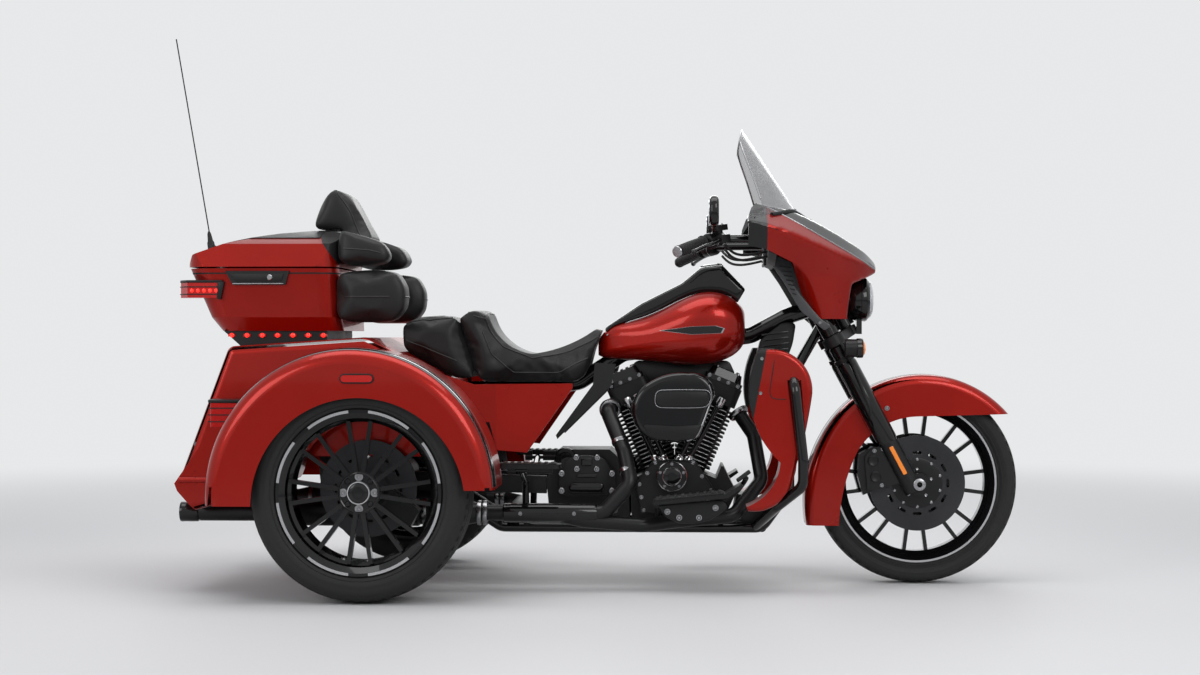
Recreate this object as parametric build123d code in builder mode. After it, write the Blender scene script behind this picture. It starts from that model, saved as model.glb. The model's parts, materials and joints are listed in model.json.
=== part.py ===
from build123d import *
import os
from math import cos, radians, sin

# A three-wheeled touring motorcycle, in millimetres. +X is forward, +Y is left and +Z is up. The
# origin is on the ground at the middle of the machine's overall box.

# ---------------------------------------------------------------------------------------------
# Driving dimensions
# ---------------------------------------------------------------------------------------------
WHEELBASE = 1680.0
REAR_AXLE_X = -670.0
FRONT_AXLE_X = REAR_AXLE_X + WHEELBASE
RUNNING_GAP = 0.3  # radial clearance of a shaft in its housing
PANEL = 4.0  # thickness of moulded and pressed panels
SEAM = 5.0  # gap round a lid or door
SEAT_GAP = 0.3  # gap under a soft part

# Rear wheels
REAR_TYRE_R = 326.0
REAR_TYRE_WIDTH = 215.0
REAR_RIM_R = 243.0
REAR_RIM_WIDTH = 190.0
REAR_TRACK = 1120.0
REAR_DISC_R = 146.0
REAR_Z = REAR_TYRE_R

# Front wheel
FRONT_TYRE_R = 320.0
FRONT_TYRE_WIDTH = 130.0
FRONT_RIM_R = 256.0
FRONT_RIM_WIDTH = 96.0
FRONT_DISC_R = 150.0
FRONT_DISC_Y = 80.0
FRONT_Z = FRONT_TYRE_R
DISC_T = 5.0
BEAD = 15.0  # depth of the tyre's bead under the rim's lip
SPOKES = 16
SPOKE_SPREAD = 0.2  # half the spread of a pair's tips, as a share of the pitch of the pairs
SPOKE_ROOT = 7.0  # half a spoke's width at the hub
SPOKE_TIP = 6.0  # half a spoke's width at the rim

# Steering head and fork
RAKE = 28.0
HEAD_X = 755.0
HEAD_Z = 880.0
HEAD_HALF = 75.0
HEAD_R = 32.0
STEM_R = 19.0
FORK_SETBACK = 60.0
FORK_HALF_SPACING = 118.0
FORK_TUBE_R = 24.5
SLIDER_R = 30.0
SLIDER_TOP = -163.0  # along the fork, from the middle of the steering head
SLIDER_BOTTOM = -628.0
YOKE_AT = 95.0
YOKE_T = 30.0
YOKE_NOSE = 30.0
YOKE_BOSS_R = 36.0
FORK_TOP = 130.0
FRONT_AXLE_R = 12.5
AXLE_BORE_R = 8.0
BAR_R = 12.7

# Rear body and fenders
BODY_HALF = 425.0
FENDER_OUT = 695.0
FENDER_CROWN_R = 45.0
BODY_EDGE_R = 26.0
DOOR_HALF = 320.0
DOOR_LOW = 395.0
DOOR_HIGH = 712.0
DOOR_T = 16.0

# Top box
BOX_HALF = 285.0
BOX_SEAM_Z = 996.0
BOX_FLOOR_Z = 800.0
BOX_REAR_X = -1267.0
BOX_FRONT_X = -800.0

# Engine: a 45 degree V-twin
CRANK_X = 245.0
CRANK_Z = 265.0
V_HALF = 22.5
BARREL_R = 56.0
FIN_SIDE = 152.0
FIN_FIRST = 128.0
FIN_PITCH = 13.5
FIN_T = 5.0
FIN_COUNT = 15
DECK = 114.0  # from the crank to the foot of a cylinder
HEAD_TOP = 400.0
ROCKER_TOP = 442.0
ROCKER_STEP = 16.0

ENGINE_HALF = 105.0
RAIL_Y = 130.0
RAIL_Z = 182.0
RAIL_R = 16.0

AXIS_UP = (-sin(radians(RAKE)), 0, cos(radians(RAKE)))
AXIS_FORWARD = (cos(radians(RAKE)), 0, sin(radians(RAKE)))


def fork_point(along, forward, side):
    """A point given along the steering axis, forward of it and to the left of it."""
    x = HEAD_X + along * AXIS_UP[0] + forward * AXIS_FORWARD[0]
    z = HEAD_Z + along * AXIS_UP[2] + forward * AXIS_FORWARD[2]
    return (x, side, z)


def fork_plane(along):
    """The plane square to the steering axis: its x is forward and its y is to the left."""
    return Plane(origin=fork_point(along, 0, 0), x_dir=AXIS_FORWARD, z_dir=AXIS_UP)


def side_plane(y):
    """A plane seen from the right: its x is +X, its y is +Z, and it faces the right side."""
    return Plane(origin=(0, y, 0), x_dir=(1, 0, 0), z_dir=(0, -1, 0))


def front_plane(x):
    """A plane seen from the front: its x is +Y, its y is +Z, and it faces forward."""
    return Plane(origin=(x, 0, 0), x_dir=(0, 1, 0), z_dir=(1, 0, 0))


def rod(points, radius, bend=0.0):
    """A round bar along straight runs joined by arcs."""
    with BuildPart() as bar:
        with BuildLine() as path:
            if bend:
                FilletPolyline(*points, radius=bend)
            else:
                Polyline(*points)
        with BuildSketch(Plane(origin=path.line @ 0, z_dir=path.line % 0)):
            Circle(radius)
        sweep()
    return bar.part


def both_sides(part):
    """The part and its mirror image on the other side of the machine."""
    return Compound([part, mirror(part, about=Plane.XZ)])


def write(name, part):
    """Writes one piece under its own name."""
    part.label = name
    export_step(part, f"parts/{name}.step")


# ---------------------------------------------------------------------------------------------
# Wheels
# ---------------------------------------------------------------------------------------------
def rim_and_spokes(centre, lip_r, width, hub_r, hub_half, bore_r, face, pairs):
    """A cast wheel. face is the side of the wheel, -1 or 1, that its spokes lie towards, or 0."""
    half = width / 2
    well = half / 2
    seat_r = lip_r - BEAD
    section = Plane(origin=centre, x_dir=(1, 0, 0), z_dir=(0, 0, 1))
    spoke_y = face * (half - 34)
    # Each pair of spokes leaves the hub side by side and spreads towards the rim.
    tip = radians(SPOKE_SPREAD * 360 / pairs)
    reach = seat_r - 17
    root = hub_r - 12
    spoke_outline = [
        (root, 2),
        (reach * cos(tip) + SPOKE_TIP * sin(tip), reach * sin(tip) - SPOKE_TIP * cos(tip)),
        (reach * cos(tip) - SPOKE_TIP * sin(tip), reach * sin(tip) + SPOKE_TIP * cos(tip)),
        (root, 2 + 2 * SPOKE_ROOT),
    ]
    with BuildPart() as rim:
        with BuildSketch(section):
            with BuildLine():
                Polyline(
                    (lip_r, -half), (lip_r, -half + 7), (seat_r, -half + 10), (seat_r - 3, -well - 6),
                    (seat_r - 14, -well), (seat_r - 14, well), (seat_r - 3, well + 6),
                    (seat_r, half - 10), (lip_r, half - 7), (lip_r, half), (lip_r - 9, half),
                    (seat_r - 10, half - 14), (seat_r - 12, well + 4), (seat_r - 22, well - 4),
                    (seat_r - 22, -well + 4), (seat_r - 12, -well - 4), (seat_r - 10, -half + 14),
                    (lip_r - 9, -half), (lip_r, -half),
                )
            make_face()
        revolve(axis=Axis(centre, (0, 1, 0)))
        with BuildSketch(side_plane(centre[1] + spoke_y).offset(-13)):
            with Locations((centre[0], centre[2])):
                with PolarLocations(0, pairs, 90):
                    Polygon(*spoke_outline, align=None)
                    Polygon(*[(along, -across) for along, across in reversed(spoke_outline)], align=None)
        extrude(amount=26)
        hub_plane = Plane(origin=centre, x_dir=(1, 0, 0), z_dir=(0, 1, 0))
        with Locations(hub_plane):
            Cylinder(hub_r, 2 * hub_half)
            if bore_r:
                Cylinder(bore_r, 4 * hub_half, mode=Mode.SUBTRACT)
    return rim.part


def tyre(centre, outer_r, width, lip_r, rim_width):
    """A hollow tyre casing that sits between the rim's lips."""
    half = rim_width / 2
    seat_r = lip_r - BEAD
    side = width / 2
    wall = 11.0
    section = Plane(origin=centre, x_dir=(1, 0, 0), z_dir=(0, 0, 1))
    with BuildPart() as casing:
        with BuildSketch(section):
            with BuildLine():
                Polyline(
                    (seat_r, -half + 11), (lip_r + 3, -half + 9), (lip_r + 28, -side),
                    (outer_r - 30, -side + 4), (outer_r - 9, -side + 20),
                )
                ThreePointArc((outer_r - 9, -side + 20), (outer_r, 0), (outer_r - 9, side - 20))
                Polyline(
                    (outer_r - 9, side - 20), (outer_r - 30, side - 4), (lip_r + 28, side),
                    (lip_r + 3, half - 9), (seat_r, half - 11), (seat_r, half - 24),
                    (lip_r + 26, side - wall), (outer_r - 30, side - wall - 8),
                    (outer_r - 16, 0), (outer_r - 30, -side + wall + 8), (lip_r + 26, -side + wall),
                    (seat_r, -half + 24), (seat_r, -half + 11),
                )
            make_face()
        revolve(axis=Axis(centre, (0, 1, 0)))
    return casing.part


def brake_disc(centre, y, radius, hole_r):
    """A flat brake disc with its carrier."""
    with BuildPart() as disc:
        with BuildSketch(side_plane(y).offset(-DISC_T / 2)):
            with Locations((centre[0], centre[2])):
                Circle(radius)
                Circle(hole_r, mode=Mode.SUBTRACT)
                with PolarLocations((radius + hole_r) / 2 + 4, 12):
                    SlotOverall(28, 9, rotation=90, mode=Mode.SUBTRACT)
        extrude(amount=DISC_T)
    return disc.part


front_centre = (FRONT_AXLE_X, 0, FRONT_Z)
FRONT_HUB_R = 34.0
FRONT_HUB_HALF = FRONT_DISC_Y + DISC_T / 2
front_rim = rim_and_spokes(
    front_centre, FRONT_RIM_R, FRONT_RIM_WIDTH, FRONT_HUB_R, FRONT_HUB_HALF,
    FRONT_AXLE_R + RUNNING_GAP, 0, SPOKES // 2,
)
front_tyre = tyre(front_centre, FRONT_TYRE_R, FRONT_TYRE_WIDTH, FRONT_RIM_R, FRONT_RIM_WIDTH)
front_discs = both_sides(brake_disc(front_centre, -FRONT_DISC_Y, FRONT_DISC_R, FRONT_HUB_R))

REAR_HUB_R = 62.0
REAR_HUB_HALF = 82.0
REAR_SHAFT_R = 22.0
REAR_DISC_Y = REAR_TRACK / 2 - 98.0
rear_centre_right = (REAR_AXLE_X, -REAR_TRACK / 2, REAR_Z)
rear_rim_plain = rim_and_spokes(
    rear_centre_right, REAR_RIM_R, REAR_RIM_WIDTH, REAR_HUB_R, REAR_HUB_HALF, 0, -1, SPOKES // 2,
)
# The half shaft runs inward from the hub into the axle housing.
SHAFT_LENGTH = 90.0
with BuildPart() as rear_rim_right:
    add(rear_rim_plain)
    shaft_plane = Plane(
        origin=(REAR_AXLE_X, -REAR_TRACK / 2 + REAR_HUB_HALF, REAR_Z), x_dir=(1, 0, 0), z_dir=(0, 1, 0)
    )
    with BuildSketch(shaft_plane):
        Circle(REAR_SHAFT_R)
    extrude(amount=SHAFT_LENGTH)
    with BuildSketch(shaft_plane):
        Circle(42)
    extrude(amount=REAR_TRACK / 2 - REAR_HUB_HALF - REAR_DISC_Y + DISC_T / 2)
rear_tyre_right = tyre(
    rear_centre_right, REAR_TYRE_R, REAR_TYRE_WIDTH, REAR_RIM_R, REAR_RIM_WIDTH
)
rear_disc_right = brake_disc(rear_centre_right, -REAR_DISC_Y, REAR_DISC_R, 42)

# ---------------------------------------------------------------------------------------------
# Fork, front fender and calipers
# ---------------------------------------------------------------------------------------------
with BuildPart() as fork_upper:
    for along in (-YOKE_AT, YOKE_AT):
        # Three bosses, joined by a bridge, hold the stem and the two tubes.
        with BuildSketch(fork_plane(along - YOKE_T / 2)):
            Circle(YOKE_NOSE)
            with Locations((-FORK_SETBACK, FORK_HALF_SPACING), (-FORK_SETBACK, -FORK_HALF_SPACING)):
                Circle(YOKE_BOSS_R)
            Polygon(
                (YOKE_NOSE - 4, 0), (-FORK_SETBACK + YOKE_BOSS_R - 8, FORK_HALF_SPACING + 10),
                (-FORK_SETBACK - 12, FORK_HALF_SPACING), (-YOKE_NOSE, 0),
                (-FORK_SETBACK - 12, -FORK_HALF_SPACING),
                (-FORK_SETBACK + YOKE_BOSS_R - 8, -FORK_HALF_SPACING - 10), align=None,
            )
        extrude(amount=YOKE_T)
    with BuildSketch(fork_plane(-YOKE_AT)):
        Circle(STEM_R)
    extrude(amount=2 * YOKE_AT)
    with BuildSketch(fork_plane(SLIDER_TOP)):
        with Locations((-FORK_SETBACK, FORK_HALF_SPACING), (-FORK_SETBACK, -FORK_HALF_SPACING)):
            Circle(FORK_TUBE_R)
    extrude(amount=FORK_TOP - SLIDER_TOP)

AXLE_HALF = FORK_HALF_SPACING + SLIDER_R + 4
with BuildPart() as fork_sliders:
    with BuildSketch(fork_plane(SLIDER_BOTTOM)):
        with Locations((-FORK_SETBACK, FORK_HALF_SPACING), (-FORK_SETBACK, -FORK_HALF_SPACING)):
            Circle(SLIDER_R)
    extrude(amount=SLIDER_TOP - SLIDER_BOTTOM)
    for side in (-1, 1):
        with BuildSketch(side_plane(side * FORK_HALF_SPACING).offset(-18)):
            with Locations((FRONT_AXLE_X, FRONT_Z)):
                Circle(34)
        extrude(amount=36)
    with Locations(Plane(origin=front_centre, x_dir=(1, 0, 0), z_dir=(0, 1, 0))):
        Cylinder(FRONT_AXLE_R, 2 * AXLE_HALF)
        Cylinder(AXLE_BORE_R, 3 * AXLE_HALF, mode=Mode.SUBTRACT)

FENDER_HALF = 88.0
CROWN_R = 30.0  # rounding of the front fender's crown


def front_fender_form(inset):
    """The front fender's filled form, made smaller by inset."""
    half = FENDER_HALF - inset
    with BuildPart() as form:
        with BuildSketch(side_plane(-half)):
            with BuildLine():
                front_arc = ThreePointArc((1298, 538), (1165, 635), (1010, 661))
                top_arc = TangentArc(front_arc @ 1, (735, 505), tangent=front_arc % 1)
                TangentArc(top_arc @ 1, (662, 185), tangent=top_arc % 1)
                Line((662, 185), (764, 185))
                ThreePointArc((764, 185), (782, 310), (820, 415))
                ThreePointArc((820, 415), (900, 498), (1008, 530))
                Line((1008, 530), (1298, 538))
            make_face()
            if inset:
                offset(amount=-inset)
        extrude(amount=-2 * half)
        crown = [
            edge for edge in form.edges()
            if abs(abs(edge.center().Y) - half) < 0.01 and edge.length > 100
            and (edge.center() - Vector(FRONT_AXLE_X, edge.center().Y, FRONT_Z)).length
            > FRONT_TYRE_R + 10
        ]
        fillet(crown, CROWN_R - inset)
    return form.part


with BuildPart() as front_fender:
    add(front_fender_form(0))
    add(front_fender_form(PANEL), mode=Mode.SUBTRACT)
    with Locations(Plane(origin=front_centre, x_dir=(1, 0, 0), z_dir=(0, 1, 0))):
        Cylinder(FRONT_TYRE_R + 7, 2 * (FENDER_HALF - PANEL), mode=Mode.SUBTRACT)

CALIPER_SLOT = 15.0
with BuildPart() as caliper:
    with BuildSketch(side_plane(-FORK_HALF_SPACING + 4)):
        with BuildLine():
            Polyline((826, 412), (868, 436), (884, 398), (872, 300), (838, 284), (822, 340), close=True)
        make_face()
    extrude(amount=-52)
    with BuildSketch(side_plane(-FORK_HALF_SPACING + 4)):
        with BuildLine():
            Polyline((842, 404), (868, 436), (925, 436), (979, 330), (872, 300), (850, 300), close=True)
        make_face()
    extrude(amount=12)
    add(fork_sliders.part, mode=Mode.SUBTRACT)
    with BuildSketch(side_plane(-FRONT_DISC_Y).offset(-CALIPER_SLOT / 2)):
        with Locations((FRONT_AXLE_X, FRONT_Z)):
            Circle(FRONT_DISC_R + 6)
    extrude(amount=CALIPER_SLOT, mode=Mode.SUBTRACT)
front_calipers = both_sides(caliper.part)

# ---------------------------------------------------------------------------------------------
# Fairing, windshield and lamps on the fork
# ---------------------------------------------------------------------------------------------
FAIRING_HALF = 372.0


fairing_stations = [
    # x, then for the left half: top, shoulder, wing tip, under the wing, and low edge, each y, z
    (472, (0, 1190), (210, 1204), (370, 1132), (322, 1056), (170, 1046)),
    (575, (0, 1178), (196, 1182), (348, 1106), (286, 1024), (166, 990)),
    (680, (0, 1148), (170, 1142), (292, 1066), (222, 974), (158, 860)),
    (765, (0, 1104), (132, 1096), (222, 1036), (180, 958), (136, 800)),
    (838, (0, 1060), (84, 1052), (138, 1016), (124, 972), (96, 900)),
    (884, (0, 1014), (42, 1008), (64, 996), (56, 980), (34, 966)),
]
fairing_lower_cut = [
    (430, 700), (430, 1060), (472, 1060), (530, 1047), (609, 1010), (648, 898), (699, 837), (786, 837),
    (800, 945), (866, 975), (900, 995), (900, 700),
]


def fairing_form(inset):
    """The fairing's filled form, made smaller by inset; the smaller one runs out at the back."""
    with BuildPart() as form:
        for x, (_, top), shoulder, tip, under, low in fairing_stations:
            outline = [(y - inset, z - inset) for y, z in (shoulder, tip)]
            outline += [(y - inset, z) for y, z in (under, low)]
            last = x == fairing_stations[-1][0]
            with BuildSketch(front_plane(x - inset if last else x)):
                with BuildLine():
                    Polyline((0, top - inset), *outline, (0, low[1]))
                    Polyline((0, low[1]), *[(-y, z) for y, z in reversed(outline)], (0, top - inset))
                make_face()
        loft()
        if inset:
            extrude(form.faces().sort_by(Axis.X)[0], amount=40)
    return form.part


LAMP_SHELF = 782.0  # the front wall round the headlamp
LAMP_Z = 900.0
LAMP_R = 64.0
LAMP_BACK = 824.0
LAMP_FRONT = 868.0
fairing_filled = fairing_form(0)
fairing_hollow = fairing_form(PANEL)
with BuildPart() as fairing_below:
    with BuildSketch(side_plane(-FAIRING_HALF - 20)):
        with BuildLine():
            Polyline(*fairing_lower_cut, close=True)
        make_face()
    extrude(amount=-2 * (FAIRING_HALF + 20))
fairing_outside = fairing_filled - fairing_below.part
# The nose is closed behind the headlamp, so the inside stops short of it there.
fairing_inside = fairing_hollow - Box(80, 2 * FAIRING_HALF, 250).moved(
    Location((LAMP_SHELF + 40, 0, 840)))
# A tube across the inside of the fairing rests on the nose of the upper yoke.
with BuildPart() as fairing_tube:
    with Locations(Plane(origin=(728, 0, 996), z_dir=(0, 1, 0))):
        Cylinder(9, 2 * FAIRING_HALF)
    add(fairing_outside, mode=Mode.INTERSECT)
    add(fork_upper.part, mode=Mode.SUBTRACT)
with BuildPart() as fairing:
    add(fairing_outside)
    add(fairing_inside, mode=Mode.SUBTRACT)
    # It has no floor behind the head.
    with Locations((665, 0, 882)):
        Box(60, 300, 70, mode=Mode.SUBTRACT)
    with BuildSketch(front_plane(740)):
        with Locations((0, LAMP_Z)):
            Circle(LAMP_R + 3)
        with Locations((0, LAMP_Z - 50)):
            Rectangle(2 * 42, 100)
    extrude(amount=LAMP_FRONT - 740 + 20, mode=Mode.SUBTRACT)
    add(fairing_tube.part)

with BuildPart() as headlamp:
    with BuildSketch(front_plane(LAMP_BACK)):
        with Locations((0, LAMP_Z)):
            Circle(LAMP_R)
    extrude(amount=LAMP_FRONT - LAMP_BACK)
    fillet(headlamp.faces().sort_by(Axis.X)[-1].edges(), 20)
    # A post stands on the nose of the lower yoke.
    with Locations((LAMP_BACK + 9, 0, LAMP_Z - 82)):
        Box(17, 40, 56)
    add(fork_upper.part, mode=Mode.SUBTRACT)

# The dash closes the back of the fairing and carries the dials.
DASH_X = 535.0
with BuildPart() as dash:
    with BuildSketch(front_plane(DASH_X)):
        with Locations((0, 1095)):
            Rectangle(2 * FAIRING_HALF, 220)
    extrude(amount=24)
    add(fairing_inside, mode=Mode.INTERSECT)

GLASS = 4.0
with BuildPart() as windshield:
    with BuildSketch(Plane.XY.offset(1150)):
        with BuildLine():
            ThreePointArc((520, -290), (655, 0), (520, 290))
            Line((520, 290), (520 - GLASS, 290))
            ThreePointArc((520 - GLASS, 290), (655 - GLASS, 0), (520 - GLASS, -290))
            Line((520 - GLASS, -290), (520, -290))
        make_face()
    extrude(amount=360, dir=(-0.55, 0, 0.83))
    with BuildSketch(front_plane(300)):
        with BuildLine():
            Line((-300, 1110), (-190, 1380))
            ThreePointArc((-190, 1380), (0, 1441), (190, 1380))
            Line((190, 1380), (300, 1110))
            Line((300, 1110), (-300, 1110))
        make_face()
    extrude(amount=500, mode=Mode.INTERSECT)
    add(fairing_outside, mode=Mode.SUBTRACT)
windshield_pane = windshield.part.solids().sort_by(SortBy.VOLUME)[-1]

# ---------------------------------------------------------------------------------------------
# Handlebar, grips, controls and mirrors
# ---------------------------------------------------------------------------------------------
BAR_MIDDLE = (676, 0, 1022)
GRIP_IN = (338, 330, 1071)
GRIP_END = (258, 448, 1036)
handlebar_half = [
    BAR_MIDDLE, (676, 90, 1022), (600, 235, 1082), (400, 272, 1082), GRIP_IN, GRIP_END,
]
handlebar_route = [(x, -y, z) for x, y, z in reversed(handlebar_half[1:])] + handlebar_half[1:]
handlebar_tube = rod(handlebar_route, BAR_R, 38)
RISER_TOP = 1020.0
with BuildPart() as handlebar:
    for side in (-1, 1):
        with BuildSketch(Plane(origin=(676, side * 42, RISER_TOP), x_dir=(1, 0, 0), z_dir=(0, 0, -1))):
            RectangleRounded(38, 26, 8)
        extrude(amount=70)
    add(handlebar_tube)
    add(fork_upper.part, mode=Mode.SUBTRACT)
# The dash has a slot on each side where the bar comes through.
bar_slots = rod(handlebar_route, BAR_R + 16, 60)
with BuildPart() as dash_open:
    add(dash.part)
    add(bar_slots, mode=Mode.SUBTRACT)

GRIP_START = 8.0
grip_direction = Vector(*GRIP_END) - Vector(*GRIP_IN)
grip_length = grip_direction.length
with BuildPart() as grip:
    # The grip starts past the bar's last bend.
    with BuildSketch(Plane(origin=GRIP_IN, z_dir=grip_direction).offset(GRIP_START)):
        Circle(17)
        Circle(BAR_R + SEAT_GAP, mode=Mode.SUBTRACT)
    extrude(amount=grip_length - GRIP_START)
    with BuildSketch(Plane(origin=GRIP_END, z_dir=grip_direction)):
        Circle(18)
    extrude(amount=6)
    add(handlebar.part, mode=Mode.SUBTRACT)
grips = both_sides(grip.part.solids().sort_by(SortBy.VOLUME)[-1])

# ---------------------------------------------------------------------------------------------
# Frame
# ---------------------------------------------------------------------------------------------
neck = fork_plane(-HEAD_HALF)
BACKBONE_R = 26.0
backbone_route = [
    (735, 0, 890), (600, 0, 845), (490, 0, 786), (80, 0, 728), (-60, 0, 636), (-200, 0, 618),
    (-420, 0, 612),
]
cradle_route = [
    (-400, 0, 600), (-440, RAIL_Y, 570), (-480, RAIL_Y, 300), (-300, RAIL_Y, RAIL_Z),
    (520, RAIL_Y, RAIL_Z), (606, RAIL_Y, 300), (606, 92, 560), (640, 16, 690), (724, 8, 838),
]
cross_tubes = [
    # x, z, radius
    (520, RAIL_Z, 14), (-300, RAIL_Z, 14), (-452, 545, 14), (140, 191, 14), (370, 191, 14),
]
BOARD_HINGE_Y = 338.0
BOARD_HINGE_Z = 374.0
BOARD_ARM_X = -220.0
board_arm_route = [
    (BOARD_ARM_X, RAIL_Y, RAIL_Z), (BOARD_ARM_X, 190, 335),
    (BOARD_ARM_X, BOARD_HINGE_Y - 2, BOARD_HINGE_Z),
]
BOARD_X = -194.0
BOARD_PIN_R = 6.0
with BuildPart() as frame:
    add(rod(backbone_route, BACKBONE_R, 60))
    for side in (-1, 1):
        add(rod([(x, side * y, z) for x, y, z in cradle_route], RAIL_R, 45))
        add(rod([(x, side * y, z) for x, y, z in board_arm_route], 11, 30))
        pin_plane = Plane(origin=(BOARD_X, side * BOARD_HINGE_Y, BOARD_HINGE_Z), z_dir=(1, 0, 0))
        with Locations(pin_plane):
            Cylinder(BOARD_PIN_R, 110)
    for x, z, radius in cross_tubes:
        with Locations(Plane(origin=(x, 0, z), x_dir=(1, 0, 0), z_dir=(0, 1, 0))):
            Cylinder(radius, 2 * RAIL_Y)
    with BuildSketch(neck):
        Circle(HEAD_R)
    extrude(amount=2 * HEAD_HALF)
    with BuildSketch(neck.offset(-20)):
        Circle(STEM_R + RUNNING_GAP)
    extrude(amount=2 * HEAD_HALF + 40, mode=Mode.SUBTRACT)

# The tank and the seat lie over the backbone, on this channel.
channel_half = BACKBONE_R + SEAT_GAP
with BuildPart() as backbone_channel:
    add(rod(backbone_route, channel_half, 60))
    with BuildSketch(side_plane(-channel_half)):
        with BuildLine():
            Polyline(*[(x, z) for x, _, z in backbone_route[1:]], (-420, 400), (600, 400), close=True)
        make_face()
    extrude(amount=-2 * channel_half)

# ---------------------------------------------------------------------------------------------
# Engine and gearbox
# ---------------------------------------------------------------------------------------------
with BuildPart() as crankcase:
    with BuildSketch(side_plane(-ENGINE_HALF)):
        with BuildLine():
            Polyline(
                (110, 205), (400, 205), (440, 290), (400, 372), (300, 402), (190, 402), (105, 372),
                close=True,
            )
        make_face()
    extrude(amount=-2 * ENGINE_HALF)
    with BuildSketch(side_plane(-ENGINE_HALF)):
        with BuildLine():
            Polyline(
                (140, 230), (340, 225), (372, 300), (310, 395), (180, 395), (125, 320), close=True,
            )
        make_face()
    extrude(amount=42)
    with BuildSketch(side_plane(-ENGINE_HALF - 42)):
        with Locations((238, 345)):
            Circle(46)
    extrude(amount=24)


def cylinder_plane(lean, height):
    """The plane square to a cylinder's axis; lean is -1 for the rear one and 1 for the front one."""
    tilt = radians(lean * V_HALF)
    axis = (sin(tilt), 0, cos(tilt))
    across = (cos(tilt), 0, -sin(tilt))
    origin = (CRANK_X + height * axis[0], 0, CRANK_Z + height * axis[2])
    return Plane(origin=origin, x_dir=across, z_dir=axis)


def finned_cylinder(lean):
    """One barrel with its cooling fins and its head."""
    with BuildPart() as barrel:
        with BuildSketch(cylinder_plane(lean, DECK)):
            Circle(BARREL_R)
        extrude(amount=HEAD_TOP - DECK)
        for number in range(FIN_COUNT):
            with BuildSketch(cylinder_plane(lean, FIN_FIRST + number * FIN_PITCH)):
                RectangleRounded(FIN_SIDE - 16, FIN_SIDE, 30)
            extrude(amount=FIN_T)
        with BuildSketch(cylinder_plane(lean, HEAD_TOP - 62)):
            RectangleRounded(FIN_SIDE - 20, FIN_SIDE, 20)
        extrude(amount=62)
        # The two cylinders meet at the middle of the V.
        with BuildSketch(front_plane(CRANK_X + lean)):
            with Locations((0, CRANK_Z + 300)):
                Rectangle(400, 700)
        extrude(amount=lean * 400, mode=Mode.INTERSECT)
    return barrel.part


def rocker_cover(lean):
    """The cover over one head's rockers."""
    with BuildPart() as cover:
        with BuildSketch(cylinder_plane(lean, HEAD_TOP)):
            RectangleRounded(FIN_SIDE - 28, FIN_SIDE + 6, 22)
        extrude(amount=ROCKER_STEP)
        with BuildSketch(cylinder_plane(lean, HEAD_TOP + ROCKER_STEP)):
            RectangleRounded(FIN_SIDE - 40, FIN_SIDE - 6, 22)
        extrude(amount=ROCKER_TOP - HEAD_TOP - ROCKER_STEP, taper=16)
    return cover.part


with BuildPart() as engine:
    add(crankcase.part)
    for lean in (-1, 1):
        with BuildSketch(cylinder_plane(lean, DECK)):
            Rectangle(FIN_SIDE + 40, 2 * ENGINE_HALF + 10)
        extrude(amount=250, mode=Mode.SUBTRACT)
cylinders = Compound([finned_cylinder(-1), finned_cylinder(1)])
rocker_covers = Compound([rocker_cover(-1), rocker_cover(1)])

with BuildPart() as gearbox:
    with BuildSketch(side_plane(-ENGINE_HALF)):
        with BuildLine():
            Polyline((-150, 225), (104, 210), (100, 372), (40, 425), (-120, 425), (-160, 330), close=True)
        make_face()
    extrude(amount=-2 * ENGINE_HALF)
    with BuildSketch(side_plane(-ENGINE_HALF)):
        with Locations((-44, 340)):
            RectangleRounded(140, 120, 22)
    extrude(amount=45)

with BuildPart() as primary_cover:
    with BuildSketch(side_plane(ENGINE_HALF)):
        with Locations((CRANK_X - 130, CRANK_Z + 38)):
            SlotCenterToCenter(250, 190)
    extrude(amount=-72)
    fillet(primary_cover.faces().sort_by(Axis.Y)[-1].edges(), 24)

with BuildPart() as air_cleaner:
    with BuildSketch(side_plane(-175)):
        with BuildLine():
            ThreePointArc((166, 468), (115, 556), (166, 640))
            ThreePointArc((166, 640), (226, 666), (290, 670))
            ThreePointArc((290, 670), (347, 654), (371, 606))
            Line((371, 606), (322, 470))
            ThreePointArc((322, 470), (250, 456), (166, 468))
        make_face()
        fillet(vertices(), 16)
    extrude(amount=105)
    fillet(air_cleaner.faces().sort_by(Axis.Y)[0].edges(), 18)
    # The intake runs in between the cylinders and joins both heads.
    with BuildSketch(side_plane(-175)):
        with Locations((CRANK_X, 578)):
            Circle(34)
    extrude(amount=-140)
    with Locations(Plane(origin=(CRANK_X, -50, 578), z_dir=(1, 0, 0))):
        Cylinder(23, 220)
    for lean in (-1, 1):
        add(finned_cylinder(lean), mode=Mode.SUBTRACT)

# ---------------------------------------------------------------------------------------------
# Exhaust
# ---------------------------------------------------------------------------------------------
PIPE_R = 24.0
MUFFLER_R = 37.0
MUFFLER_Y = 292.0
MUFFLER_Z = 240.0
MUFFLER_FRONT = -385.0
MUFFLER_LENGTH = 640.0
TAIL_R = 25.0
TAIL_END = -1279.0
SPIGOT = 60.0  # the tail pipe's free end, where a tip slides on
tail_length = MUFFLER_FRONT - TAIL_END
rear_header_route = [
    (MUFFLER_FRONT, -MUFFLER_Y, MUFFLER_Z), (30, -MUFFLER_Y, MUFFLER_Z), (112, -MUFFLER_Y + 10, 330),
    (92, -240, 425), (36, -150, 548), (52, -70, 566),
]
front_header_route = [
    (-120, -MUFFLER_Y, MUFFLER_Z - 4), (-30, -MUFFLER_Y, 216), (150, -285, 202), (260, -205, 210),
    (430, -195, 225), (520, -104, 330), (496, -70, 470), (448, -40, 540),
]
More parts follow.
